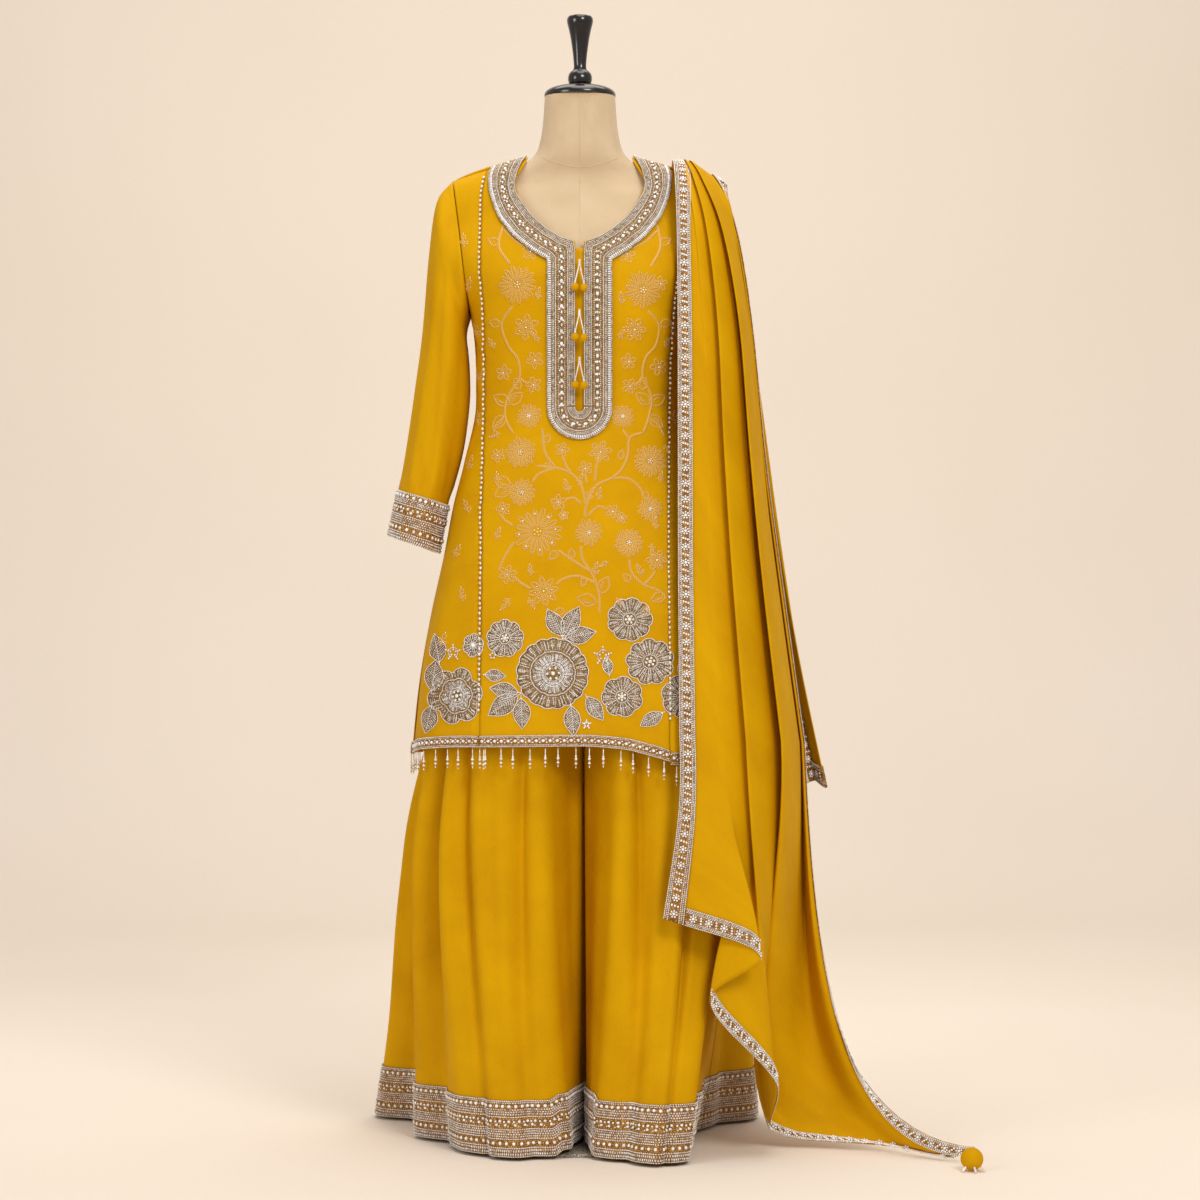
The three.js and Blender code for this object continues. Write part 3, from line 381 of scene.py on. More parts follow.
def neck_band_point(at, across):
    """The beaded neckline: from the wearer's right shoulder round the placket to the left."""
    station = BAND_ENDS - np.abs(np.clip(at, 0, 2 * BAND_ENDS) - BAND_ENDS)
    side = np.where(at < BAND_ENDS, -1, 1)
    value = {name: np.interp(station, range(BAND_ENDS + 1), NECK_BAND[name]) for name in NECK_BAND}
    # the placket's foot is round, so its last two stations follow a circle
    foot = np.clip((station - (BAND_ENDS - 2)) / 2, 0, 1)
    turn = foot * np.pi / 2
    round_x = mix(SLIT_HALF, PLACKET_HALF, across) * np.cos(turn)
    round_z = 1034 - mix(SLIT_HALF, PLACKET_HALF, across) * np.sin(turn)
    x = np.where(foot > 0, round_x, mix(value["in_x"], value["out_x"], across))
    z = np.where(foot > 0, round_z, mix(value["in_z"], value["out_z"], across))
    return front_point(side * x, z)


# ---- sleeves --------------------------------------------------------------------------------
SLEEVE = table(
    "out_x out_z in_x in_z depth",
    (180, 1362, 154, 1167, 56),
    (203, 1331, 161, 1143, 60),
    (214, 1257, 159, 1118, 60),
    (223, 1149, 157, 1092, 58),
    (232, 1080, 157, 1048, 57),
    (242, 1010, 165, 985, 56),
    (251, 955, 178, 934, 55),
    (258, 923, 188, 902, 55),
    (272, 858, 201, 833, 54),
)
CUFF_ROW = 7
SLEEVE_END = 8
LEFT_PRESS = 14
# Long soft folds of the sleeve: where round it (0 over the arm, 90 the front), how wide and deep.
SLEEVE_FOLDS = table(
    "turn width depth start",
    (30, 13, -4.5, 0.8),
    (58, 10, 4.5, 1.6),
    (84, 9, -5.0, 0.6),
    (108, 11, 3.6, 2.0),
    (140, 12, -4.0, 1.2),
    (214, 13, 2.8, 1.0),
    (250, 12, -3.2, 1.4),
    (290, 13, 3.0, 0.9),
    (326, 12, -2.4, 1.8),
)


def sleeve_section(k, turn, press):
    out_x, out_z, in_x, in_z, depth = (SLEEVE[name][k] for name in SLEEVE)
    x = (out_x - press + in_x) / 2 + ((out_x - press - in_x) / 2) * np.cos(turn)
    z = (out_z + in_z) / 2 + ((out_z - in_z) / 2) * np.cos(turn)
    return point_of(x, -depth * np.sin(turn), z)


def sleeve_point(side, turn, at):
    turn, at = np.broadcast_arrays(np.asarray(turn, float), np.asarray(at, float))
    press = LEFT_PRESS * smooth(at / 3) if side > 0 else np.zeros(at.shape)
    p = along(np.stack([sleeve_section(k, turn, press) for k in range(SLEEVE_END + 1)]), at)
    low, high = UNDERARM_Z + 0.5, ridge_at(SHOULDER_X) - 0.5
    z = (low + high) / 2 + ((high - low) / 2) * np.cos(turn)
    angle = angle_at(column(ARMHOLE, "z", "x", z), z)
    hole = body(np.where(np.sin(turn) >= 0, angle, 180 - angle), z)
    hole = point_of(hole[..., 0] + 1.2, hole[..., 1], z)
    p = p + (hole - sleeve_section(0, turn, 0)) * (1 - smooth(at / 1.3))[..., None]
    degrees = np.degrees(turn)
    fold = np.zeros(at.shape)
    for a, width, deep, start in zip(*(SLEEVE_FOLDS[name] for name in SLEEVE_FOLDS)):
        wander = 9 * np.sin(at * 0.8 + a)
        run = smooth((at - start) / 2.2) * (0.55 + 0.45 * smooth((at - 4) / 4))
        fold = fold + deep * run * np.exp(-((wrapped(degrees - a - wander) / width) ** 2))
    fold = fold * (1 - 0.6 * smooth((at - 6.4) / 0.6))
    p = p + fold[..., None] * point_of(np.cos(turn), -np.sin(turn), 0 * turn)
    return p * np.array([side, 1, 1])


# ---- trousers -------------------------------------------------------------------------------
TROUSERS = table(
    "z half front back",
    (0, 240, 150, 165),
    (400, 231, 142, 154),
    (564, 216, 134, 140),
    (712, 198, 122, 134),
    (850, 175, 114, 131),
    (957, 153, 99, 104),
    (1010, 141, 92, 90),
)
NONE = float("nan")
# Hem of each leg from above, from the inside leg round the front to the side seam and back.
RIGHT_LEG = table(
    "x y angle in_x in_y",
    (15, 5, 0, 15, 0),
    (2, -45, 3, 6, -40),
    (-9, -108, 7, -9, -66),
    (-26, -154, 16, NONE, NONE),
    (-80, -173, 28, NONE, NONE),
    (-125, -150, 40, NONE, NONE),
    (-160, -105, 50, NONE, NONE),
    (-196, -45, 60, NONE, NONE),
    (-229, 25, 69, NONE, NONE),
    (-206, 70, 78, NONE, NONE),
    (-222, 118, 90, NONE, NONE),
    (-270, 160, 101, NONE, NONE),
    (-304, 212, 110, NONE, NONE),
    (-276, 240, 120, NONE, NONE),
    (-232, 212, 130, NONE, NONE),
    (-186, 234, 141, NONE, NONE),
    (-146, 196, 150, NONE, NONE),
    (-100, 226, 160, NONE, NONE),
    (-48, 192, 170, NONE, NONE),
    (-12, 110, 176, 2, 75),
    (15, 5, 180, 15, 0),
)
LEFT_LEG = table(
    "x y angle in_x in_y",
    (23, 5, 0, 23, 0),
    (12, -50, 3, 13, -40),
    (12, -112, 7, 10, -66),
    (28, -166, 16, NONE, NONE),
    (72, -203, 28, NONE, NONE),
    (110, -220, 40, NONE, NONE),
    (139, -196, 50, NONE, NONE),
    (152, -140, 60, NONE, NONE),
    (148, -60, 69, NONE, NONE),
    (150, 10, 78, NONE, NONE),
    (172, 66, 90, NONE, NONE),
    (214, 120, 101, NONE, NONE),
    (258, 180, 110, NONE, NONE),
    (262, 222, 120, NONE, NONE),
    (222, 232, 130, NONE, NONE),
    (180, 200, 141, NONE, NONE),
    (140, 236, 150, NONE, NONE),
    (98, 196, 160, NONE, NONE),
    (50, 218, 170, NONE, NONE),
    (20, 110, 176, 10, 75),
    (23, 5, 180, 23, 0),
)
HEM_Z = 5
SIDE_STATION = 10
LEG_END = 20
LEG_SPREAD = 1.8
LEG_ROWS = [WAIST_Z, 900, 810, HIP_Z, 688, 665, CROTCH_Z, 580, 490, 390, 280, 170]
# Folds that hang between the main ones: place round the leg in stations, width, height, and the
# level that they start below.
LEG_FOLDS = table(
    "at width depth top",
    (1.95, 0.30, -5, 700),
    (2.75, 0.26, 9, 640),
    (3.55, 0.24, -17, 860),
    (4.15, 0.28, 5, 660),
    (4.72, 0.24, 9, 680),
    (5.1, 0.15, -13, 850),
    (5.9, 0.40, 14, 660),
    (6.9, 0.34, -32, 880),
    (7.8, 0.36, 14, 640),
    (8.7, 0.30, -18, 820),
    (9.3, 0.25, 8, 640),
    (10.7, 0.32, -24, 840),
    (11.6, 0.30, 14, 660),
    (12.5, 0.30, -25, 840),
    (13.4, 0.28, 13, 660),
    (14.3, 0.30, -24, 860),
    (15.3, 0.30, 14, 660),
    (16.4, 0.30, -24, 840),
    (17.4, 0.26, 12, 640),
    (18.3, 0.26, -16, 760),
)


def leg_station(side, leg, k, z):
    """One fold line's place at a level."""
    turn = np.radians(leg["angle"][k] + np.where(k == 0, 0.2, 0) - np.where(k == LEG_END, 0.2, 0))
    wide = boxiness(turn)
    hip_x = side * column(TROUSERS, "z", "half", z) * np.sin(turn) * wide
    depth = np.where(np.cos(turn) > 0, column(TROUSERS, "z", "front", z), column(TROUSERS, "z", "back", z))
    hip_y = -depth * np.cos(turn) * wide
    down = np.clip((HIP_Z - z) / (HIP_Z - HEM_Z), 0, 1) ** LEG_SPREAD
    x, y, in_x, in_y = leg["x"][k], leg["y"][k], leg["in_x"][k], leg["in_y"][k]
    part = smooth((HIP_Z - z) / (HIP_Z - CROTCH_Z))
    inside = ~np.isnan(in_x)
    in_x, in_y = np.nan_to_num(in_x), np.nan_to_num(in_y)
    return (
        np.where(inside, mix(hip_x, mix(in_x, x, down), part), mix(hip_x, x, down)),
        np.where(inside, mix(hip_y, mix(in_y, y, down), part), mix(hip_y, y, down)),
    )


def leg_spot(side, at, z):
    leg = RIGHT_LEG if side < 0 else LEFT_LEG
    i = np.clip(np.floor(at).astype(int), 0, LEG_END - 1)
    places = []
    for step in (-1, 0, 1, 2):
        k = i + step
        inside = leg_station(side, leg, np.clip(k, 0, LEG_END), z)
        round_k = np.where(k < 0, LEG_END - 1, np.where(k > LEG_END, 1, np.clip(k, 0, LEG_END)))
        over = leg_station(side, leg, round_k, z)
        next_in = leg_station(side, leg, np.where(k < 0, 1, LEG_END - 1), z)
        out_of = (k < 0) | (k > LEG_END)
        places.append([
            np.where(out_of, np.where(z < CROTCH_Z, over[n], 2 * inside[n] - next_in[n]), inside[n])
            for n in (0, 1)
        ])
    return [spline(*(p[n] for p in places), at - i) for n in (0, 1)]


def leg_point(side, at, row):
    at, row = np.broadcast_arrays(np.asarray(at, float), np.asarray(row, float))
    low_x, low_y = leg_spot(side, at, np.full(at.shape, float(HEM_Z)))
    hem = mix(BASE_H + 6, HEM_Z, smooth((np.hypot(low_x, low_y) - BASE_R - 4) / 12))
    last = len(LEG_ROWS) - 1
    z = np.interp(row, range(last + 1), LEG_ROWS)
    z = np.where(row > last, mix(LEG_ROWS[last], hem + LEG_BAND, row - last), z)
    z = np.where(row > last + 1, mix(hem + LEG_BAND, hem, row - last - 1), z)
    x, y = leg_spot(side, at, z)
    before, after = leg_spot(side, at - 0.03, z), leg_spot(side, at + 0.03, z)
    run = unit(np.stack([after[0] - before[0], after[1] - before[1]], -1))
    fold = np.zeros(at.shape)
    for a, width, deep, top in zip(*(LEG_FOLDS[name] for name in LEG_FOLDS)):
        place = a + 0.1 * np.sin(z / 150 + a * 2) + (0.12 if side > 0 else 0)
        fold = fold - deep * smooth((top - z) / 240) * np.exp(-(((at - place) / width) ** 2))
    ends = smooth(at / 1.5) * smooth((LEG_END - at) / 1.5)
    fold = fold * ends * mix(1.0, 0.5, smooth((330 - z) / 220))
    # run x up points outward on the right leg and inward on the left
    return point_of(x + side * -run[..., 1] * fold, y + side * run[..., 0] * fold, z)


# ---- dupatta --------------------------------------------------------------------------------
DUPATTA = [
    # inner edge, the place its curve bends round, outer edge, pleat height, border's share
    ((137, -160, 575), (300, -172, 575), (322, 45, 560), 11, 0.07),
    ((136, -134, 800), (272, -148, 800), (290, 45, 790), 10, 0.08),
    ((136, -120, 980), (256, -134, 980), (264, 30, 970), 9, 0.09),
    ((136, -110, 1150), (240, -122, 1150), (247, 20, 1140), 7.5, 0.1),
    ((135, -96, 1285), (212, -106, 1282), (231, 2, 1262), 6, 0.13),
    ((133, -56, 1358), (188, -62, 1356), (218, -6, 1326), 5, 0.22),
    ((131, 2, 1390), (172, 2, 1386), (208, 4, 1356), 4.5, 0.29),
    ((130, 60, 1358), (188, 64, 1356), (219, 20, 1326), 5, 0.22),
    ((128, 102, 1270), (205, 112, 1268), (233, 36, 1250), 6, 0.13),
    ((126, 114, 1100), (230, 130, 1100), (250, 56, 1090), 8, 0.1),
    ((126, 144, 900), (250, 168, 900), (275, 84, 890), 10, 0.09),
    ((134, 180, 700), (282, 204, 700), (310, 104, 690), 11, 0.08),
    ((150, 200, 560), (315, 222, 535), (350, 118, 500), 12, 0.07),
]
FRONT_END = table(
    "u x y z way_x way_y way_z",
    (0, 114, -190, 334, -0.15, 0, -1),
    (0.175, 247, -204, 280, 0.1, 0, -1),
    (0.288, 178, -184, 222, -0.1, 0.05, -1),
    (0.487, 271, -150, 92, 0.1, 0, -1),
    (0.61, 264, -70, 30, 0.3, -0.1, -0.9),
    (0.682, 318, -74, 12, 0.7, -0.3, -0.4),
    (0.794, 408, -98, 10, 0.8, -0.5, -0.1),
    (0.878, 468, -134, 9, 0.8, -0.55, -0.05),
    (0.957, 512, -180, 8, 0.8, -0.55, -0.02),
    (1, 538, -198, 24, 0.8, -0.5, 0.05),
)
DUPATTA_WIDTH = 760
EDGE_U = BORDER / DUPATTA_WIDTH
PLEATS = 3.5
LEAN = 6.2  # how far each pleat lies over, for each millimetre of its height
END_ROW = 0.12
SHOULDER_ROW = 7
BACK_ROW = len(DUPATTA)


def dupatta_section(i, u):
    inner, bend, outer, pleat, edge = DUPATTA[i]
    inner, bend, outer = (np.array(p, float) for p in (inner, bend, outer))
    s = mix(edge, 1 - edge, (u - EDGE_U) / (1 - 2 * EDGE_U))
    s = np.where(u < EDGE_U, edge * u / EDGE_U, s)
    s = np.where(u > 1 - EDGE_U, 1 - edge * (1 - u) / EDGE_U, s)

    def curve(t):
        t = t[..., None]
        return (1 - t) ** 2 * inner + 2 * t * (1 - t) * bend + t**2 * outer

    p = curve(s)
    run = unit(curve(s + 1e-3) - p)
    flat = smooth((s - edge) / 0.1) * smooth((1 - edge - s) / 0.1)
    flat = flat * smooth((s - 0.16) / 0.24)
    turn = 2 * np.pi * (PLEATS * u + 0.08 * np.sin(2 * np.pi * 1.3 * u + 0.9)) - 2.0
    uneven = 0.86 + 0.14 * np.sin(2 * np.pi * 1.7 * u + 0.2 * i)
    rise = pleat * flat * uneven * np.sin(turn)
    top = SHOULDER_ROW - 2 <= i <= SHOULDER_ROW
    back = -1 if i > SHOULDER_ROW - 1 and not top else 1
    if top:
        away = point_of(0 * s, 0 * s, 1 + 0 * s)
    else:
        away = point_of(run[..., 1], -run[..., 0], 0 * s)
    return p + rise[..., None] * away * back - (LEAN * rise)[..., None] * run


def dupatta_point(u, row):
    u, row = np.broadcast_arrays(np.asarray(u, float), np.asarray(row, float))
    hung = along(np.stack([dupatta_section(i, u) for i in range(BACK_ROW)]), np.maximum(row - 1, 0))
    start = dupatta_section(0, u)
    place = np.clip(u, 0, 1)
    end = np.stack([column(FRONT_END, "u", name, place) for name in "xyz"], -1)
    way = np.stack([np.interp(place, FRONT_END["u"], FRONT_END[f"way_{name}"]) for name in "xyz"], -1)
    reach = np.linalg.norm(start - end, axis=-1)
    last = end - way * reach[..., None] * 0.35
    first = start + reach[..., None] * np.array([0.02, 0, -0.42])
    edge = BORDER / (reach * 1.05)
    g = np.where(row < END_ROW, row / END_ROW * edge, mix(edge, 1, (row - END_ROW) / (1 - END_ROW)))
    g = np.clip(g, -0.05, 1)[..., None]
    tail = (1 - g) ** 3 * end + 3 * g * (1 - g) ** 2 * last + 3 * g**2 * (1 - g) * first + g**3 * start
    # the outer border turns under, so that it faces the side
    under = smooth((u - 1 + EDGE_U) / EDGE_U) * smooth((row - 0.12) / 0.5)
    under = under * (1 - np.exp(-(((row - SHOULDER_ROW) / 1.3) ** 2)))
    turned_in = point_of(-0.85 * under, np.where(row < SHOULDER_ROW, 0.7, -0.4) * under, 0 * under)
    return np.where((row >= 1)[..., None], hung, tail) + BORDER * turned_in


# ---- meshes ---------------------------------------------------------------------------------
class Shape:
    """Vertices in millimetres, faces with their flat places in metres, and materials."""

    def __init__(self):
        self.points, self.faces, self.flats, self.finishes, self.count = [], [], [], [], 0

    def add(self, points, faces, finish=0, flat=None):
        """faces are rows of 3 or 4 vertex numbers, flat is a place for each face's corner."""
        faces = np.asarray(faces, int)
        self.points.append(np.asarray(points, float).reshape(-1, 3))
        self.faces.append(faces + self.count)
        self.flats.append(np.zeros(faces.shape + (2,)) if flat is None else flat)
        self.finishes.append(np.full(len(faces), finish))
        self.count += len(self.points[-1])

    def build(self, name, finishes, angle=None):
        mesh = bpy.data.meshes.new(name)
        points = np.concatenate(self.points) * MM
        corners = np.concatenate([f.ravel() for f in self.faces])
        sizes = np.concatenate([np.full(len(f), f.shape[1]) for f in self.faces])
        mesh.vertices.add(len(points))
        mesh.vertices.foreach_set("co", points.ravel())
        mesh.loops.add(len(corners))
        mesh.loops.foreach_set("vertex_index", corners)
        mesh.polygons.add(len(sizes))
        mesh.polygons.foreach_set("loop_start", np.concatenate([[0], np.cumsum(sizes)[:-1]]))
        mesh.polygons.foreach_set("material_index", np.concatenate(self.finishes))
        mesh.update(calc_edges=True)
        flats = mesh.uv_layers.new(name="flat")
        flats.data.foreach_set("uv", np.concatenate([f.reshape(-1, 2) for f in self.flats]).ravel())
        for finish in finishes:
            mesh.materials.append(finish)
        mesh.polygons.foreach_set("use_smooth", np.ones(len(sizes), bool))
        if angle is not None:
            mesh.set_sharp_from_angle(angle=math.radians(angle))
        mesh.validate()
        piece = bpy.data.objects.new(name, mesh)
        bpy.context.scene.collection.objects.link(piece)
        return piece


def surface_normal(point, u, v, step_u, step_v, out):
    du = point(u + step_u, v) - point(u - step_u, v)
    dv = point(u, v + step_v) - point(u, v - step_v)
    return unit(np.cross(du, dv)) * out


def add_wall(shape, us, vs, point, out=1, thick=1.0, lift=0.0, keep=None, wrap=False, finish=0):
    """A cloth wall on a grid, closed round its edges. keep(u, v) leaves cells out."""
    us, vs = np.asarray(us, float), np.asarray(vs, float)
    u, v = np.meshgrid(us, vs, indexing="ij")
    middle = point(u, v)
    step = np.ptp(us) * 4e-4, np.ptp(vs) * 4e-4
    normal = surface_normal(point, u, v, *step, out)
    if wrap:
        middle[-1], normal[-1] = middle[0], normal[0]
    outer = middle + normal * (lift + thick / 2)
    inner = middle + normal * (lift - thick / 2)
    wide = np.zeros(u.shape)
    wide[1:] = np.cumsum(np.linalg.norm(np.diff(middle, axis=0), axis=-1), axis=0)
    wide -= wide[len(us) // 2]
    long = np.zeros(u.shape)
    long[:, 1:] = np.cumsum(np.linalg.norm(np.diff(middle, axis=1), axis=-1), axis=1)
    flat = np.stack([wide, long], -1) * MM
    columns = len(us) - 1 if wrap else len(us)
    i, j = np.meshgrid(np.arange(len(us) - 1), np.arange(len(vs) - 1), indexing="ij")
    i, j = i.ravel(), j.ravel()
    if keep is not None:
        kept = keep((us[i] + us[i + 1]) / 2, (vs[j] + vs[j + 1]) / 2)
        i, j = i[kept], j[kept]
    corner_i = np.stack([i, i + 1, i + 1, i], -1)
    corner_j = np.stack([j, j, j + 1, j + 1], -1)
    if out < 0:
        corner_i, corner_j = corner_i[:, ::-1], corner_j[:, ::-1]
    top = (corner_i % columns) * len(vs) + corner_j
    half = columns * len(vs)
    places = flat[corner_i, corner_j]
    a, b = top.ravel(), np.roll(top, -1, axis=1).ravel()
    rim = ~np.isin(a * half + b, b * half + a)
    side_places = np.stack([
        np.roll(places, -1, axis=1).reshape(-1, 2)[rim], places.reshape(-1, 2)[rim],
        places.reshape(-1, 2)[rim], np.roll(places, -1, axis=1).reshape(-1, 2)[rim],
    ], 1)
    sides = np.stack([b[rim], a[rim], a[rim] + half, b[rim] + half], -1)
    points = np.concatenate([outer[:columns].reshape(-1, 3), inner[:columns].reshape(-1, 3)])
    faces = np.concatenate([top, top[:, ::-1] + half, sides])
    shape.add(points, faces, finish, np.concatenate([places, places[:, ::-1], side_places]))
    used = np.unique(faces)
    slim = np.full(len(points), -1)
    slim[used] = np.arange(len(used))
    shape.points[-1] = points[used]
    shape.faces[-1] = slim[faces] + shape.count - len(points)
    shape.count += len(used) - len(points)


def finer(values, parts):
    """Each span of a list cut into parts."""
    spans = [np.linspace(a, b, parts, endpoint=False) for a, b in zip(values[:-1], values[1:])]
    return np.concatenate(spans + [[values[-1]]])


# ---- beads ----------------------------------------------------------------------------------
def ring_solid(levels, sides, turn=0.0):
    """A small closed solid: rings of (radius, height) between two end points."""
    points = [(0, 0, levels[0][1])]
    for radius, height in levels[1:-1]:
        for k in range(sides):
            a = turn + 2 * math.pi * k / sides
            points.append((radius * math.cos(a), radius * math.sin(a), height))
    points.append((0, 0, levels[-1][1]))
    rings, faces = len(levels) - 2, []
    for k in range(sides):
        n = (k + 1) % sides
        faces.append((0, 1 + n, 1 + k))
        for r in range(rings - 1):
            low, high = 1 + r * sides, 1 + (r + 1) * sides
            faces += [(low + k, low + n, high + n), (low + k, high + n, high + k)]
        top = 1 + (rings - 1) * sides
        faces.append((top + k, top + n, len(points) - 1))
    return np.array(points, float), np.array(faces)


# unit solids: local axes are along the row, across it and up from the cloth
SEED = ring_solid([(0, -1), (1.15, 0), (0, 1)], 4, math.pi / 4)
STONE = ring_solid([(0, -0.6), (1, -0.1), (0.62, 0.72), (0, 0.8)], 6, math.pi / 6)
PEARL = ring_solid([(0, -1), (0.78, -0.6), (1, 0.05), (0.7, 0.72), (0, 1)], 7)
DROP = ring_solid([(0, -1), (0.8, -0.6), (0.9, 0), (0.3, 0.8), (0, 1)], 5)
TUBE = ring_solid([(0, -1), (1, -0.9), (1, 0.9), (0, 1)], 5)


def place(shape, solid, centres, run, side, up, size, finish):
    """Copies of a unit solid, turned to each place's axes and sized in millimetres."""
    points, faces = solid
    size = np.broadcast_to(np.asarray(size, float), centres.shape)
    axes = np.stack([run, side, up], 1) * size[:, :, None]
    made = centres[:, None, :] + np.einsum("pa,nab->npb", points, axes)
    numbers = faces[None] + (np.arange(len(centres)) * len(points))[:, None, None]
    shape.add(made.reshape(-1, 3), numbers.reshape(-1, faces.shape[1]), finish)


class Strip:
    """A long narrow surface: at runs along it, and across goes from 0 to 1 over its width."""

    def __init__(self, point, start, end, width, out=1, lift=0.0, closed=False):
        self.point, self.start, self.end, self.width = point, start, end, width
        self.out, self.lift, self.closed = out, lift, closed

    def frames(self, at, across, up=0.0):
        step = abs(self.end - self.start) * 4e-4
        run = unit(self.point(at + step, across) - self.point(at - step, across))
        over = self.point(at, across + 0.02) - self.point(at, across - 0.02)
        normal = unit(np.cross(run, over)) * self.out
        return self.point(at, across) + normal * (self.lift + up), run, np.cross(normal, run), normal

    def spaced(self, mm_across, pitch, shift=0.0):
        """Places along the strip, a pitch apart, at so many millimetres from its first edge."""
        across = mm_across / self.width
        at = np.linspace(self.start, self.end, 1600)
        p = self.point(at, np.full(at.shape, across))
        length = np.concatenate([[0], np.cumsum(np.linalg.norm(np.diff(p, axis=0), axis=1))])
        count = max(int(round(length[-1] / pitch)), 1)
        marks = (np.arange(count) + 0.5 + shift) * length[-1] / count
        marks = marks[(marks > 0) & (marks < length[-1])]
        return np.interp(marks, length, at), np.full(len(marks), across)

    def row(self, shape, mm_across, pitch, size, finish, solid=SEED, up=0.0, shift=0.0, every=None):
        at, across = self.spaced(mm_across, pitch, shift)
        if every is not None:
            chosen = every(np.arange(len(at)))
            at, across = at[chosen], across[chosen]
        centres, run, side, normal = self.frames(at, across, up)
        place(shape, solid, centres, run, side, normal, size, finish)

    def rosettes(self, shape, mm_across, pitch, radius, petals, size, finish, centre, shift=0.0):
        """Rings of small stones round a bigger one, a pitch apart."""
        at, across = self.spaced(mm_across, pitch, shift)
        centres, run, side, normal = self.frames(at, across, 0.6)
        place(shape, STONE, centres, run, side, normal, (centre, centre, centre * 0.8), finish)
        for k in range(petals):
            a = 2 * math.pi * k / petals
            spot = centres + radius * (math.cos(a) * run + math.sin(a) * side)
            turned = math.cos(a) * run + math.sin(a) * side
            place(shape, STONE, spot, turned, np.cross(normal, turned), normal, size, finish)


def flat_frames(places, surface, up=0.0):
    """Places and axes on the front of the kameez for a list of flat (x, z) places."""
    x, z = places[:, 0], places[:, 1]
    right = unit(surface(x + 0.6, z) - surface(x - 0.6, z))
    rise = surface(x, z + 0.6) - surface(x, z - 0.6)
    normal = unit(np.cross(right, rise))
    return surface(x, z) + normal * up, right, np.cross(normal, right), normal


def along_lines(lines, pitch):
    """Places a pitch apart on each flat line, and the way that the line runs there."""
    spots, ways = [], []
    for line in lines:
        steps = np.diff(line, axis=0)
        length = np.concatenate([[0], np.cumsum(np.hypot(steps[:, 0], steps[:, 1]))])
        if length[-1] < pitch * 0.6:
            continue
        count = max(int(round(length[-1] / pitch)), 1)
        marks = (np.arange(count) + 0.5) * length[-1] / count
        spot = np.stack([np.interp(marks, length, line[:, n]) for n in (0, 1)], -1)
        ahead = np.stack([np.interp(marks + 0.4, length, line[:, n]) for n in (0, 1)], -1)
        behind = np.stack([np.interp(marks - 0.4, length, line[:, n]) for n in (0, 1)], -1)
        spots.append(spot)
        ways.append(ahead - behind)
    return np.concatenate(spots), unit(np.concatenate(ways))


def bead_lines(shape, lines, pitch, size, finish, up, solid=SEED, surface=front_point):
    """Beads sewn in rows along flat lines on the kameez."""
    spots, ways = along_lines(lines, pitch)
    centres, right, rise, normal = flat_frames(spots, surface, up)
    run = unit(ways[:, :1] * right + ways[:, 1:] * rise)
    place(shape, solid, centres, run, np.cross(normal, run), normal, size, finish)


def thread_lines(shape, lines, width, height, finish, lift, surface=front_point):
    """Raised lines of thread along flat lines: each is a low ridge with a rounded top."""
    spots = np.concatenate(lines)
    ways = np.concatenate([unit(np.gradient(line, axis=0)) for line in lines])
    lengths = np.concatenate([
        np.concatenate([[0], np.cumsum(np.linalg.norm(np.diff(line, axis=0), axis=1))]) for line in lines
    ])
    centres, right, rise, normal = flat_frames(spots, surface, lift)
    run = unit(ways[:, :1] * right + ways[:, 1:] * rise)
    side = np.cross(normal, run)
    last = np.cumsum([len(line) for line in lines]) - 1
    ends = np.ones(len(spots))
    ends[last] = ends[np.concatenate([[0], last[:-1] + 1])] = 0.35
    half = (width / 2) * ends[:, None]
    tall = height * ends[:, None]
    section = [(-1, 0.0), (-0.45, 0.95), (0.45, 0.95), (1, 0.0)]
    points = np.stack([centres + side * half * s + normal * tall * h for s, h in section], 1)
    start = np.setdiff1d(np.arange(len(spots)), last)
    faces, flats = [], []
    for k in range(len(section) - 1):
        a, b = start * len(section) + k, (start + 1) * len(section) + k
        faces.append(np.stack([a, b, b + 1, a + 1], -1))
        low, high = section[k][0] * width / 2, section[k + 1][0] * width / 2
        flats.append(np.stack([
            np.stack([lengths[start], np.full(len(start), low)], -1),
            np.stack([lengths[start + 1], np.full(len(start), low)], -1),
            np.stack([lengths[start + 1], np.full(len(start), high)], -1),
            np.stack([lengths[start], np.full(len(start), high)], -1),
        ], 1) * MM)
    faces = np.concatenate(faces)[:, ::-1]
    flats = np.concatenate(flats)[:, ::-1]
    shape.add(points.reshape(-1, 3), faces, finish, flats)


def net_patch(shape, centre, outline, lift, finish, surface=front_point):
    """A thin ground of net under a beaded shape, in rings so that it follows the body."""
    rings = 6
    shares = np.linspace(0.04, 1, rings)[:, None, None]
    places = centre + (outline[None] - centre) * shares
    count = len(outline)
    flat = places.reshape(-1, 2)
    points, _, _, normal = flat_frames(flat, surface, lift)
    low = points - normal * 0.5
    k = np.arange(count)
    n = (k + 1) % count
    faces = []
    for r in range(rings - 1):
        faces.append(np.stack([r * count + k, (r + 1) * count + k, (r + 1) * count + n, r * count + n], -1))
    faces = np.concatenate(faces)
    edge = (rings - 1) * count
    total = len(points)
    skirt = np.stack([edge + k, edge + k + total, edge + n + total, edge + n], -1)
    faces = np.concatenate([faces, skirt])
    both = np.concatenate([points, low])
    area = np.cross(both[faces[:, 1]] - both[faces[:, 0]], both[faces[:, 2]] - both[faces[:, 0]])
    facing = np.sum(area[: (rings - 1) * count] * normal[faces[: (rings - 1) * count, 0]], axis=1)
    if facing.sum() < 0:
        faces = faces[:, ::-1]
    places = np.concatenate([flat, flat])[faces] * MM
    shape.add(both, faces, finish, places)


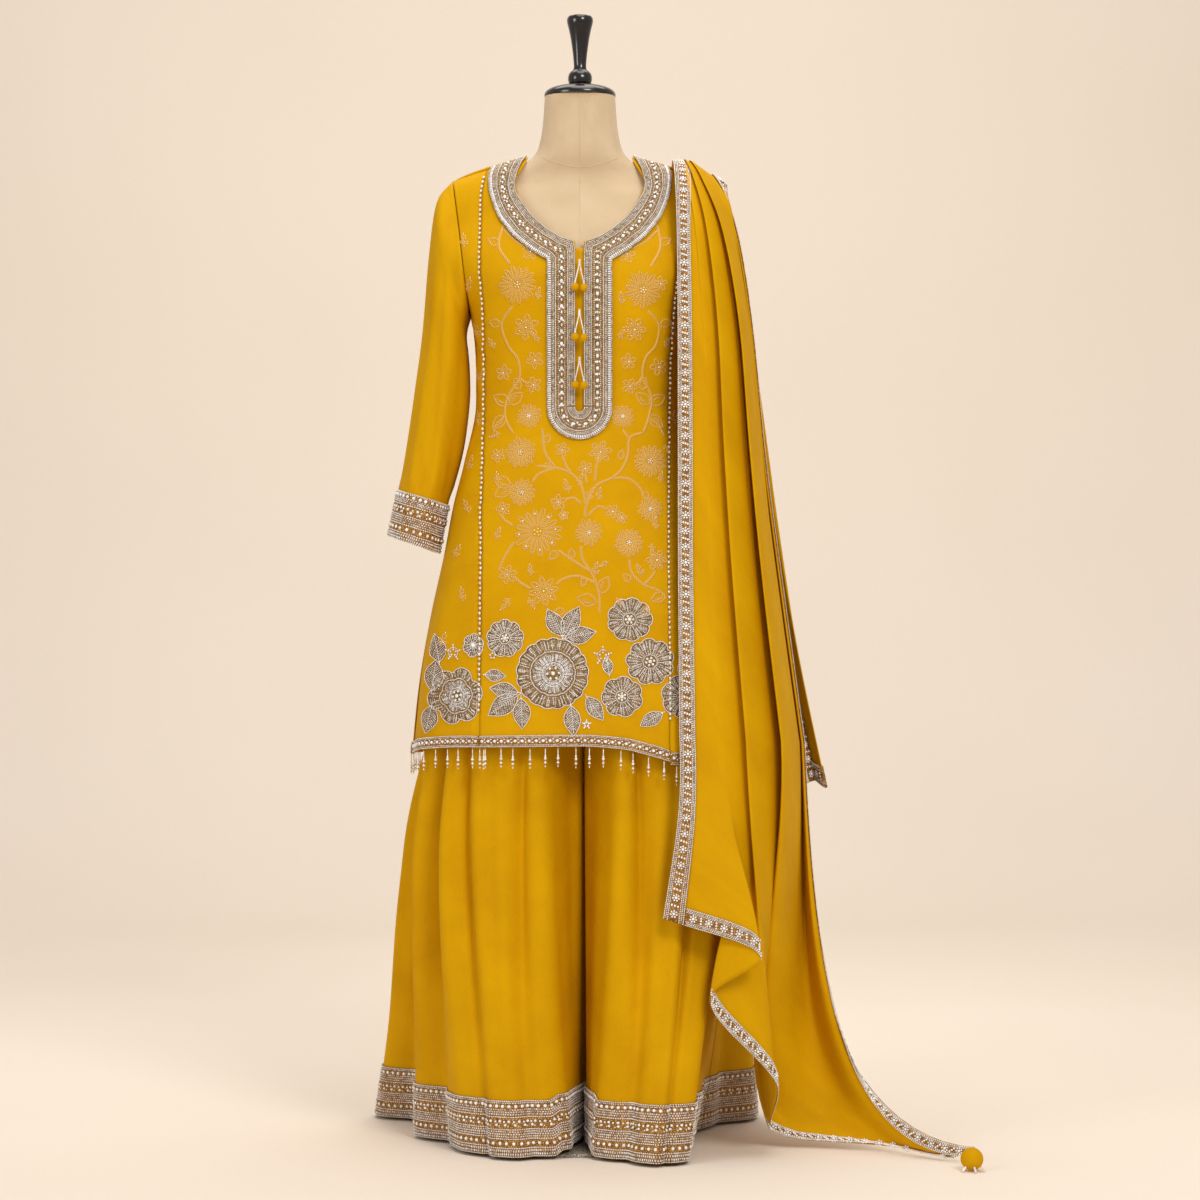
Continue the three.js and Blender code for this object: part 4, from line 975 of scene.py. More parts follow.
# ---- flat motifs: lists of lines in (x, z) ---------------------------------------------------
def turned(lines, centre, degrees, scale=1.0):
    a = math.radians(degrees)
    spin = np.array([[math.cos(a), math.sin(a)], [-math.sin(a), math.cos(a)]])
    return [np.asarray(line) * scale @ spin + np.asarray(centre, float) for line in lines]


def petal_outline(inner, outer, half_turn, point=0.0, count=8):
    """A petal along +x from its narrow foot to its tip, as a closed line."""
    t = np.linspace(0, 1, count)
    r = mix(inner, outer, t)
    swell = np.sin(np.pi * np.clip(t, 0, 1) ** 0.8) ** mix(0.62, 1.1, point)
    wide = np.tan(half_turn) * (0.25 + 0.75 * t) * mix(outer * 0.78, outer * 0.7, point) * swell
    upper = np.stack([r, wide], -1)
    return np.concatenate([upper, upper[::-1][1:] * [1, -1]])


def wheel_flower(centre, radius, petals, turn, stones):
    """A round flower of narrow petals, worked in chain stitch round a cluster of stones."""
    lines = []
    half = math.pi / petals * 0.86
    for k in range(petals):
        a = turn + 360 * k / petals
        long = radius * (0.94 + 0.06 * math.sin(2.1 * k + turn))
        lines += turned([petal_outline(radius * 0.2, long, half)], centre, a)
        lines += turned([np.array([[radius * 0.36, 0], [radius * 0.8, 0]])], centre, a)
    for k in range(5):
        a = math.radians(turn + 72 * k)
        stones.append((centre[0] + radius * 0.13 * math.cos(a), centre[1] + radius * 0.13 * math.sin(a), 1.2))
    stones.append((centre[0], centre[1], 1.5))
    return lines


def open_flower(centre, radius, petals, turn, stones):
    """A small flower of open loops with a stone in the middle."""
    lines = []
    for k in range(petals):
        a = turn + 360 * k / petals
        lines += turned([petal_outline(radius * 0.16, radius, math.pi / petals * 0.8, 0.35, 8)], centre, a)
        if radius > 13:
            lines += turned([np.array([[radius * 0.3, 0], [radius * 0.66, 0]])], centre, a)
            spot = turned([np.array([[radius * 0.55, 0]])], centre, a)[0][0]
            stones.append((spot[0], spot[1], 0.9))
    stones.append((centre[0], centre[1], 1.5))
    return lines


def leaf_lines(foot, length, degrees, ribs=True):
    """A pointed leaf with a middle rib, from its foot."""
    t = np.linspace(0, 1, 12)
    wide = 0.3 * length * np.sin(np.pi * t**0.85)
    upper = np.stack([t * length, wide], -1)
    lines = [np.concatenate([upper, upper[::-1][1:] * [1, -1]])]
    lines.append(np.array([[0.08 * length, 0], [0.82 * length, 0]]))
    if ribs and length > 18:
        lines.append(np.stack([np.linspace(0.2, 0.72, 5) * length, 0.12 * length * np.sin(np.linspace(0.5, 2.6, 5))], -1))
    return turned(lines, foot, degrees)


def stalk(start, end, bow):
    """A gently bowed line between two places."""
    start, end = np.array(start, float), np.array(end, float)
    t = np.linspace(0, 1, 9)[:, None]
    way = end - start
    off = np.array([-way[1], way[0]]) * bow
    return mix(start, end, t) + off * 4 * t * (1 - t)


def bud_spray(foot, length, degrees, stones):
    """A short stalk with two buds and a tip bud."""
    lines = [stalk((0, 0), (length * 0.62, 0), 0.08)]
    lines += leaf_lines((length * 0.6, 0), length * 0.42, 4, False)
    lines += leaf_lines((length * 0.34, 0), length * 0.34, 52, False)
    lines += leaf_lines((length * 0.24, 0), length * 0.32, -50, False)
    tip = turned([np.array([[length * 1.1, 0]])], foot, degrees)[0][0]
    stones.append((tip[0], tip[1], 0.9))
    return turned(lines, foot, degrees)


# Wheel flowers, open flowers, leaves and sprays of the thread work on the centre front, at
# rounded places that a worker would chalk on: x and z, radius or length, petals, turn.
WHEELS = [
    (88, 1197, 27, 15, 4), (-86, 1204, 28, 15, 11), (60, 1022, 17, 12, 5), (-70, 1023, 18, 12, 0),
    (-82, 972, 23, 15, 6), (98, 960, 24, 16, 2), (-80, 916, 20, 13, 9), (98, 893, 18, 13, 0),
    (13, 860, 20, 13, 6), (68, 846, 21, 15, 3),
]
GREAT_WHEEL = (-58, 861, 35, 16, 8)
OPENS = [
    (66, 1246, 12, 5, 10), (-68, 1250, 12, 5, 80), (76, 1142, 17, 6, 0), (-74, 1145, 18, 6, 24),
    (68, 1098, 11, 5, 20), (-62, 1100, 12, 5, 50), (110, 1092, 12, 5, 40), (-106, 1084, 11, 5, 12),
    (70, 1064, 11, 5, 66), (-64, 1066, 11, 5, 30), (29, 972, 16, 6, 12), (8, 949, 10, 5, 40),
    (-24, 975, 10, 5, 0), (-29, 902, 11, 5, 22), (46, 889, 10, 5, 60), (58, 880, 8, 5, 10),
    (-49, 779, 21, 8, 10), (-99, 802, 13, 6, 16), (106, 822, 15, 6, 0), (-106, 893, 10, 5, 34),
    (-114, 968, 10, 5, 50), (112, 1206, 10, 5, 20), (-22, 884, 7, 5, 30),
]
VINES = [
    [(112, 1338), (98, 1312), (110, 1284), (112, 1256), (98, 1228)],
    [(110, 1284), (92, 1266), (74, 1256)],
    [(-112, 1338), (-96, 1312), (-108, 1286), (-112, 1258), (-96, 1232)],
    [(-108, 1286), (-90, 1268), (-76, 1258)],
    [(94, 1170), (110, 1150), (106, 1122), (92, 1104), (88, 1078), (100, 1050), (96, 1020), (88, 1000)],
    [(88, 1078), (82, 1070), (76, 1066)],
    [(-92, 1176), (-108, 1152), (-100, 1122), (-86, 1102), (-84, 1076), (-100, 1050), (-104, 1024), (-92, 998)],
    [(-84, 1076), (-76, 1070), (-70, 1068)],
    [(88, 1000), (70, 992), (67, 968), (58, 948), (44, 936), (22, 924), (9, 896), (8, 880)],
    [(60, 1004), (68, 992)],
    [(9, 896), (2, 926), (-13, 943), (-33, 950), (-60, 953)],
    [(-33, 950), (-48, 972), (-52, 1006)],
    [(-33, 950), (-56, 942), (-66, 930)],
    [(44, 936), (68, 935), (84, 922), (90, 908)],
    [(2, 900), (-8, 908), (-20, 906)],
    [(12, 884), (26, 896), (38, 892)],
    [(28, 748), (27, 776), (18, 802), (4, 824), (2, 842)],
    [(16, 806), (-10, 822), (-30, 836)],
    [(24, 790), (-2, 800), (-22, 796), (-32, 788)],
    [(68, 824), (72, 804), (88, 788), (108, 780), (118, 772)],
    [(88, 788), (100, 800), (104, 808)],
    [(-66, 782), (-82, 792), (-90, 800)],
    [(-92, 870), (-104, 878), (-108, 884)],
    [(-90, 848), (-104, 826), (-112, 806)],
    [(29, 972), (24, 956), (21, 930)],
    [(8, 940), (10, 928)],
    [(-24, 966), (-18, 952), (-12, 944)],
    [(-104, 1024), (-116, 1012), (-120, 1000)],
    [(96, 1020), (110, 1012), (118, 996)],
]
LEAVES = [
    (-98, 1040, 26, 150), (-98, 1040, 24, 40), (-104, 1024, 25, 226), (98, 1040, 25, 30), (98, 1040, 24, 142),
    (98, 1024, 25, -44), (-96, 925, 26, 152), (-96, 925, 26, 214), (28, 776, 26, 62), (24, 764, 28, 168),
    (118, 774, 22, 200), (-46, 958, 12, -70), (-48, 984, 14, 66), (-30, 834, 16, 222), (-10, 824, 14, 96),
    (56, 962, 14, 74), (92, 918, 14, -90), (8, 798, 13, 250), (86, 1060, 17, 70), (-84, 1060, 17, 110),
    (112, 1150, 17, 20), (-110, 1150, 17, 160), (112, 1262, 18, 30), (-112, 1262, 18, 150),
    (98, 1312, 20, 150), (-96, 1312, 20, 30), (-20, 752, 16, 190), (70, 792, 14, 130),
]
SPRAYS = [
    (60, 1176, 16, 100), (-58, 1182, 16, 80), (54, 1128, 14, 60), (-56, 1124, 14, 120), (118, 1120, 14, 60),
    (-118, 1118, 15, 120), (10, 905, 18, 60), (26, 905, 16, 80), (-14, 915, 18, 108), (-2, 925, 16, 70),
    (22, 800, 18, 82), (88, 800, 17, 120), (-66, 800, 15, 96), (-116, 850, 17, 70), (-94, 770, 20, 230),
    (-70, 770, 16, 300), (106, 864, 16, 92), (100, 846, 15, 270), (-112, 930, 14, 100), (112, 930, 14, 80),
    (76, 1290, 16, 100), (-78, 1292, 16, 80), (-110, 1000, 14, 200), (118, 984, 14, 300), (-34, 776, 12, 150),
    (40, 820, 12, 210), (94, 760, 16, 235), (50, 770, 14, 320),
]


def thread_design(stones):
    """All lines of the thread work on the centre front: broad stems and fine outlines."""
    stems = [curve_through(vine) for vine in VINES]
    fine = []
    for x, z, radius, petals, turn in WHEELS:
        fine += wheel_flower((x, z), radius, petals, turn, stones)
    x, z, radius, petals, turn = GREAT_WHEEL
    fine += wheel_flower((x, z), radius, petals, turn, stones)
    for k in range(8):
        a = math.radians(turn + 45 * k)
        stones.append((x + radius * 0.72 * math.cos(a), z + radius * 0.72 * math.sin(a), 1.6))
    for x, z, radius, petals, turn in OPENS:
        fine += open_flower((x, z), radius, petals, turn, stones)
    for x, z, length, turn in LEAVES:
        fine += leaf_lines((x, z), length, turn)
    for x, z, length, turn in SPRAYS:
        fine += bud_spray((x, z), length, turn, stones)
    return stems, fine


def scalloped(centre, radius, petals, turn, depth, count=72):
    """Outline of a flower with rounded or pointed petals."""
    a = np.linspace(0, 2 * np.pi, count, endpoint=False)
    wave = np.abs(np.cos(petals * (a - math.radians(turn)) / 2))
    r = radius * (1 - depth + depth * wave**0.6)
    return np.stack([centre[0] + r * np.cos(a), centre[1] + r * np.sin(a)], -1)


def closed(line):
    return np.concatenate([line, line[:1]])


# Beaded flowers round the hem of the front: x and z, radius, petals, turn, depth of the scallops.
HEM_FLOWERS = [
    (-36, 666, 49, 17, 4, 0.07), (-101, 714, 26, 9, 10, 0.12), (-147, 704, 16, 6, 20, 0.2),
    (-172, 634, 40, 6, 12, 0.26), (69, 740, 30, 9, 0, 0.11), (96, 682, 32, 9, 14, 0.17),
    (59, 634, 28, 7, 30, 0.16), (140, 634, 30, 7, 8, 0.16),
]
HEM_LEAVES = [
    (-24, 717, 42, 118), (-22, 717, 46, 62), (-20, 714, 44, 12), (-129, 664, 30, -4), (-82, 640, 40, 172),
    (-82, 636, 50, 214), (-78, 632, 42, 272), (-12, 622, 42, 276), (10, 634, 40, 306), (112, 612, 34, 212),
    (42, 664, 26, 100), (-206, 640, 44, 82), (-196, 680, 40, 96), (-206, 620, 40, 258), (136, 662, 26, 70),
]
STARS = [(33, 690, 14), (-178, 694, 12), (10, 596, 7), (-118, 690, 6)]


# ---- materials ------------------------------------------------------------------------------
def linear(text):
    """sRGB hex to linear colour."""
    parts = [int(text.lstrip("#")[k : k + 2], 16) / 255 for k in (0, 2, 4)]
    return tuple(c / 12.92 if c <= 0.04045 else ((c + 0.055) / 1.055) ** 2.4 for c in parts) + (1.0,)


def add_node(tree, kind, settings=None, inputs=None):
    """Adds a node: settings are its own, and inputs are values or sockets to link from."""
    node = tree.nodes.new(kind)
    for name, value in (settings or {}).items():
        setattr(node, name, value)
    for name, value in (inputs or {}).items():
        if isinstance(value, bpy.types.NodeSocket):
            tree.links.new(value, node.inputs[name])
        else:
            node.inputs[name].default_value = value
    return node


def start_material(name):
    material = bpy.data.materials.new(name)
    material.use_nodes = True
    material.node_tree.nodes.clear()
    return material, material.node_tree


def finish_material(tree, surface):
    add_node(tree, "ShaderNodeOutputMaterial", None, {"Surface": surface.outputs["BSDF"]})


def ramp(tree, factor, stops):
    node = add_node(tree, "ShaderNodeValToRGB", None, {"Fac": factor})
    while len(node.color_ramp.elements) < len(stops):
        node.color_ramp.elements.new(0.5)
    for element, (position, colour) in zip(node.color_ramp.elements, stops):
        element.position, element.color = position, linear(colour)
    return node.outputs["Color"]


def crepe_georgette(name, colours):
    """Crepe georgette: a matt cloth of hard-twisted threads. The twist gives a fine dry grain,
    and the light goes a little into the cloth, which deepens its folds."""
    material, tree = start_material(name)
    flat = add_node(tree, "ShaderNodeUVMap", {"uv_map": "flat"}).outputs["UV"]
    # threads are 0.3 mm apart on the real cloth; the weave is drawn at 0.9 mm so that it shows
    wave = {"wave_type": "BANDS", "bands_direction": "X", "wave_profile": "SIN"}
    fine = {"Vector": flat, "Scale": 1 / 0.0009 / 6.283 * 2, "Distortion": 1.2, "Detail": 1.0}
    warp = add_node(tree, "ShaderNodeTexWave", wave, fine)
    weft = add_node(tree, "ShaderNodeTexWave", dict(wave, bands_direction="Y"), fine)
    threads = add_node(tree, "ShaderNodeMath", {"operation": "MULTIPLY"},
                       {0: warp.outputs["Fac"], 1: weft.outputs["Fac"]})
    crimp = add_node(tree, "ShaderNodeTexNoise", None,
                     {"Vector": flat, "Scale": 1 / 0.0035, "Detail": 3.0, "Roughness": 0.6})
    slub = add_node(tree, "ShaderNodeTexNoise", None,
                    {"Vector": flat, "Scale": 1 / 0.11, "Detail": 4.0, "Roughness": 0.55})
    grain = add_node(tree, "ShaderNodeMath", {"operation": "MULTIPLY_ADD"},
                     {0: crimp.outputs["Fac"], 1: 0.22, 2: slub.outputs["Fac"]})
    colour = ramp(tree, grain.outputs[0], [(0.35, colours[0]), (0.62, colours[1]), (0.9, colours[2])])
    height = add_node(tree, "ShaderNodeMath", {"operation": "MULTIPLY_ADD"},
                      {0: threads.outputs[0], 1: 0.3, 2: crimp.outputs["Fac"]})
    bump = add_node(tree, "ShaderNodeBump", None,
                    {"Height": height.outputs[0], "Strength": 0.16, "Distance": 0.0006})
    rough = add_node(tree, "ShaderNodeMapRange", None,
                     {"Value": crimp.outputs["Fac"], "To Min": 0.62, "To Max": 0.8})
    finish_material(tree, add_node(tree, "ShaderNodeBsdfPrincipled", None, {
        "Base Color": colour, "Roughness": rough.outputs["Result"], "Normal": bump.outputs["Normal"],
        "Sheen Weight": 0.03, "Sheen Roughness": 0.4, "Sheen Tint": linear("#FFC23C"),
        "Specular IOR Level": 0.07,
    }))
    return material


def thread_stitch(name, colours):
    """Twisted embroidery thread in chain stitch: short slanting strands with a soft silky shine; their colour is
    painted darker in the grooves between strands (painted shade) and lighter on the crests (painted highlight).
    """
    material, tree = start_material(name)
    flat = add_node(tree, "ShaderNodeUVMap", {"uv_map": "flat"}).outputs["UV"]
    # one stitch is 1.6 mm long
    wave = add_node(tree, "ShaderNodeTexWave", {"wave_type": "BANDS", "bands_direction": "DIAGONAL"},
                    {"Vector": flat, "Scale": 1 / 0.0016 / 6.283 * 2, "Distortion": 0.6})
    # the colour follows the strands' relief: painted shade in the grooves and a painted highlight on the crests
    colour = ramp(tree, wave.outputs["Fac"], [(0.0, colours[0]), (0.45, colours[1]), (1.0, colours[2])])
    bump = add_node(tree, "ShaderNodeBump", None,
                    {"Height": wave.outputs["Fac"], "Strength": 0.6, "Distance": 0.0005})
    finish_material(tree, add_node(tree, "ShaderNodeBsdfPrincipled", None, {
        "Base Color": colour, "Roughness": 0.5, "Normal": bump.outputs["Normal"],
        "Sheen Weight": 0.08, "Sheen Tint": linear("#FFD890"), "Specular IOR Level": 0.3,
    }))
    return material


def glass_beads(name, colours, roughness, metallic, grain=0.0032):
    """Silver-lined glass beads: each bead takes its own tone from the dye lot, with a hard
    bright glint from the glass and the lining."""
    material, tree = start_material(name)
    where = add_node(tree, "ShaderNodeTexCoord").outputs["Object"]
    lot = add_node(tree, "ShaderNodeTexVoronoi", {"feature": "F1"}, {"Vector": where, "Scale": 1 / grain})
    tone = add_node(tree, "ShaderNodeSeparateColor", None, {"Color": lot.outputs["Color"]})
    colour = ramp(tree, tone.outputs["Red"], [(k / (len(colours) - 1), c) for k, c in enumerate(colours)])
    scratch = add_node(tree, "ShaderNodeTexNoise", None, {"Vector": where, "Scale": 1 / 0.0011})
    rough = add_node(tree, "ShaderNodeMapRange", None,
                     {"Value": scratch.outputs["Fac"], "To Min": roughness * 0.6, "To Max": roughness * 1.4})
    finish_material(tree, add_node(tree, "ShaderNodeBsdfPrincipled", None, {
        "Base Color": colour, "Metallic": metallic, "Roughness": rough.outputs["Result"],
        "Coat Weight": 0.6, "Coat Roughness": 0.06,
    }))
    return material


def beaded_tape_with_painted_shade(name, colours):
    """Gold tissue tape packed with tiny uneven beads, each of its own tone: the colour is painted darker towards each
    bead's edge and in the gaps (painted shade), and lighter at each bead's middle (painted highlight).
    """
    material, tree = start_material(name)
    flat = add_node(tree, "ShaderNodeUVMap", {"uv_map": "flat"}).outputs["UV"]
    # the filling beads are 1.6 mm across
    bead = add_node(tree, "ShaderNodeTexVoronoi", {"feature": "F1"},
                    {"Vector": flat, "Scale": 1 / 0.0017, "Randomness": 0.55})
    tone = add_node(tree, "ShaderNodeSeparateColor", None, {"Color": bead.outputs["Color"]})
    # colour: each bead's own tone, with painted shade that deepens towards the bead's edge and in the gaps, and a
    # painted highlight at its middle
    both = add_node(tree, "ShaderNodeMath", {"operation": "MULTIPLY_ADD"},
                    {0: bead.outputs["Distance"], 1: -0.9, 2: tone.outputs["Red"]})
    colour = ramp(tree, both.outputs[0], [(0.0, colours[0]), (0.4, colours[1]), (1.0, colours[2])])
    dome = add_node(tree, "ShaderNodeMath", {"operation": "SUBTRACT"}, {0: 1.0, 1: bead.outputs["Distance"]})
    bump = add_node(tree, "ShaderNodeBump", None,
                    {"Height": dome.outputs[0], "Strength": 0.9, "Distance": 0.0009})
    finish_material(tree, add_node(tree, "ShaderNodeBsdfPrincipled", None, {
        "Base Color": colour, "Roughness": 0.42, "Metallic": 0.12, "Normal": bump.outputs["Normal"],
    }))
    return material


def stretched_jersey(name, colours):
    """Cotton jersey pulled over padding: fine upright wales, matt, with a faint nap."""
    material, tree = start_material(name)
    flat = add_node(tree, "ShaderNodeUVMap", {"uv_map": "flat"}).outputs["UV"]
    # wales are 0.7 mm apart on the real jersey; drawn at 1.3 mm so that they show
    wales = add_node(tree, "ShaderNodeTexWave", {"wave_type": "BANDS", "bands_direction": "X"},
                     {"Vector": flat, "Scale": 1 / 0.0013 / 6.283 * 2, "Distortion": 0.8, "Detail": 2.0})
    cloud = add_node(tree, "ShaderNodeTexNoise", None, {"Vector": flat, "Scale": 1 / 0.05, "Detail": 5.0})
    colour = ramp(tree, cloud.outputs["Fac"], [(0.3, colours[0]), (0.7, colours[1])])
    bump = add_node(tree, "ShaderNodeBump", None,
                    {"Height": wales.outputs["Fac"], "Strength": 0.2, "Distance": 0.0004})
    finish_material(tree, add_node(tree, "ShaderNodeBsdfPrincipled", None, {
        "Base Color": colour, "Roughness": 0.85, "Normal": bump.outputs["Normal"],
        "Sheen Weight": 0.3, "Sheen Tint": linear("#FFF0DC"), "Specular IOR Level": 0.3,
    }))
    return material


def turned_and_lacquered(name, colours):
    """Turned hardwood under dark gloss lacquer: long grain just shows through a wet-looking coat."""
    material, tree = start_material(name)
    where = add_node(tree, "ShaderNodeTexCoord").outputs["Object"]
    long = add_node(tree, "ShaderNodeMapping", None, {"Vector": where, "Scale": (1.0, 1.0, 0.12)})
    grain = add_node(tree, "ShaderNodeTexNoise", None,
                     {"Vector": long.outputs["Vector"], "Scale": 1 / 0.004, "Detail": 6.0})
    colour = ramp(tree, grain.outputs["Fac"], [(0.35, colours[0]), (0.7, colours[1])])
    rough = add_node(tree, "ShaderNodeMapRange", None,
                     {"Value": grain.outputs["Fac"], "To Min": 0.16, "To Max": 0.3})
    finish_material(tree, add_node(tree, "ShaderNodeBsdfPrincipled", None, {
        "Base Color": colour, "Roughness": rough.outputs["Result"], "Coat Weight": 0.6, "Coat Roughness": 0.05,
    }))
    return material


def powder_coated_steel(name, colours):
    """Steel with a baked dark powder coat: an even fine orange-peel and a dull shine."""
    material, tree = start_material(name)
    where = add_node(tree, "ShaderNodeTexCoord").outputs["Object"]
    peel = add_node(tree, "ShaderNodeTexNoise", None, {"Vector": where, "Scale": 1 / 0.0016, "Detail": 2.0})
    colour = ramp(tree, peel.outputs["Fac"], [(0.4, colours[0]), (0.7, colours[1])])
    bump = add_node(tree, "ShaderNodeBump", None,
                    {"Height": peel.outputs["Fac"], "Strength": 0.2, "Distance": 0.0002})
    finish_material(tree, add_node(tree, "ShaderNodeBsdfPrincipled", None, {
        "Base Color": colour, "Roughness": 0.5, "Normal": bump.outputs["Normal"],
    }))
    return material


def seamless_paper(name, colours):
    """Matt studio paper: a barely mottled, warm pale surface."""
    material, tree = start_material(name)
    where = add_node(tree, "ShaderNodeTexCoord").outputs["Object"]
    cloud = add_node(tree, "ShaderNodeTexNoise", None, {"Vector": where, "Scale": 0.8, "Detail": 2.0})
    colour = ramp(tree, cloud.outputs["Fac"], [(0.3, colours[0]), (0.7, colours[1])])
    finish_material(tree, add_node(tree, "ShaderNodeBsdfPrincipled", None, {
        "Base Color": colour, "Roughness": 0.9, "Specular IOR Level": 0.2,
    }))
    return material


MADE = {}


def finish_of(kind):
    """Each finish is made once, from the colours in the panel."""
    if kind not in MADE:
        c = bpy.context.scene.suit_colours
        makers = {
            "crepe": lambda: crepe_georgette("mustard_crepe_georgette", (c.crepe_dark, c.crepe, c.crepe_light)),
            # the thread's deep and light colours are painted shade in the stitch grooves and a painted highlight on the
            # stitch crests
            "thread": lambda: thread_stitch("gold_chain_stitch", ("#B5802C", c.thread, "#E4B766")),
            "silver": lambda: glass_beads(
                "silver_lined_seed_beads", ("#A89683", "#D2C7BB", c.silver, "#F6F3F0", "#FFFFFF"), 0.28, 0.0),
            "crystal": lambda: glass_beads(
                "foiled_crystal_stones", ("#E8E2DC", "#F8F5F2", c.crystal, "#FFFFFF"), 0.1, 0.0, 0.006),
            "gold": lambda: glass_beads("champagne_gold_beads", ("#9A6A22", "#CC983C", "#EBCB86"), 0.3, 0.3),
            "pearl": lambda: glass_beads("moulded_pearl_beads", ("#E6DCCB", c.pearl, "#FFFDF8"), 0.22, 0.0, 0.009),
            # the bead tapes' darkest colour is painted shade between the beads and their lightest is a painted
            # highlight on them
            "ground": lambda: beaded_tape_with_painted_shade("beaded_gold_tape_painted_shade", ("#85560F", "#BE8730", "#E2BC78")),
            "grey_ground": lambda: beaded_tape_with_painted_shade("beaded_silver_tape_painted_shade", ("#7C5C34", "#AD8A50", "#DCCBB0")),
            "jersey": lambda: stretched_jersey("stretched_cotton_jersey", (c.jersey_dark, c.jersey)),
            "lacquer": lambda: turned_and_lacquered("turned_lacquered_wood", ("#0F0807", c.lacquer)),
            "steel": lambda: powder_coated_steel("powder_coated_steel", ("#222224", c.steel)),
            "paper": lambda: seamless_paper("seamless_studio_paper", (c.paper_dark, c.paper)),
        }
        MADE[kind] = makers[kind]()
    return MADE[kind]


# ---- what a user would change ----------------------------------------------------------------
class SuitColours(bpy.types.PropertyGroup):
    """Colours of the suit's finishes, as sRGB hex."""

    crepe: bpy.props.StringProperty(name="Crepe", description="Main tone of the cloth", default="#D09B00")
    crepe_dark: bpy.props.StringProperty(name="Crepe, deep", description="Deeper tone of the cloth", default="#C68F00")
    crepe_light: bpy.props.StringProperty(name="Crepe, light", description="Lighter tone of the cloth", default="#DAA500")
    thread: bpy.props.StringProperty(name="Thread", description="Embroidery thread", default="#E0B24E")
    silver: bpy.props.StringProperty(name="Seed beads", description="Main tone of the silver beads", default="#E8E0D8")
    crystal: bpy.props.StringProperty(name="Stones", description="Foiled crystal stones", default="#FFFFFF")
    pearl: bpy.props.StringProperty(name="Pearls", description="Pearl piping and drops", default="#F4EDE0")
    jersey: bpy.props.StringProperty(name="Jersey", description="Cover of the dress form", default="#D4BC9B")
    jersey_dark: bpy.props.StringProperty(name="Jersey, deep", description="Deeper tone of the cover", default="#C9B18D")
    lacquer: bpy.props.StringProperty(name="Lacquer", description="Neck cap and finial", default="#0E0706")
    steel: bpy.props.StringProperty(name="Stand", description="Powder coat of the stand", default="#D8C8B4")
    paper: bpy.props.StringProperty(name="Backdrop", description="Studio paper", default="#F4E9DC")
    paper_dark: bpy.props.StringProperty(name="Backdrop, deep", description="Studio paper", default="#F1E5D7")


class SuitSizes(bpy.types.PropertyGroup):
    """Sizes of the cloth and the trimmings."""

    cloth: bpy.props.FloatProperty(
        name="Cloth", description="Thickness of the cloth", default=0.001, min=0.0004, max=0.003, unit="LENGTH")
    tape: bpy.props.FloatProperty(
        name="Tape", description="Thickness of the bead tape", default=0.0012, min=0.0005, max=0.003, unit="LENGTH")
    seed: bpy.props.FloatProperty(
        name="Seed bead", description="Length of one seed bead", default=0.0024, min=0.001, max=0.006, unit="LENGTH")
    rosette: bpy.props.FloatProperty(
        name="Rosette repeat", description="One repeat of the dupatta's border", default=0.022, min=0.01, max=0.06,
        unit="LENGTH")
    drop: bpy.props.FloatProperty(
        name="Drop spacing", description="Mean space between the bead drops", default=0.021, min=0.01, max=0.06,
        unit="LENGTH")


def sizes():
    """The panel's sizes in millimetres."""
    chosen = bpy.context.scene.suit_sizes
    return {name: getattr(chosen, name) / MM for name in ("cloth", "tape", "seed", "rosette", "drop")}


def settle(piece, slot, *nodes):
    """The piece stands for its CAD nodes and rides with the suit."""
    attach(piece, "root")
    if nodes:
        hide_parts(*nodes)
    return piece


SILVER, CRYSTAL, GOLD, PEARLS, GROUND = 0, 1, 2, 3, 4


def bead_finishes(ground="ground"):
    return [finish_of(kind) for kind in ("silver", "crystal", "gold", "pearl", ground)]


def tape_top():
    size = sizes()
    return size["cloth"] / 2 + 0.4 + size["tape"]


def add_tape(shape, us, vs, point, out, wrap=False):
    size = sizes()
    middle = size["cloth"] / 2 + 0.4 + size["tape"] / 2
    add_wall(shape, us, vs, point, out, size["tape"], middle, None, wrap, GROUND)


# ---- stage ----------------------------------------------------------------------------------
def deselect():
    bpy.ops.object.select_all(action="DESELECT")


def choose_points(test):
    """In edit mode: selects just the vertices whose place passes a test."""
    bpy.ops.object.mode_set(mode="OBJECT")
    mesh = bpy.context.object.data
    for polygon in mesh.polygons:
        polygon.select = False
    for edge in mesh.edges:
        edge.select = False
    for vertex in mesh.vertices:
        vertex.select = bool(test(vertex.co))
    bpy.ops.object.mode_set(mode="EDIT")
    bpy.ops.mesh.select_mode(type="VERT")


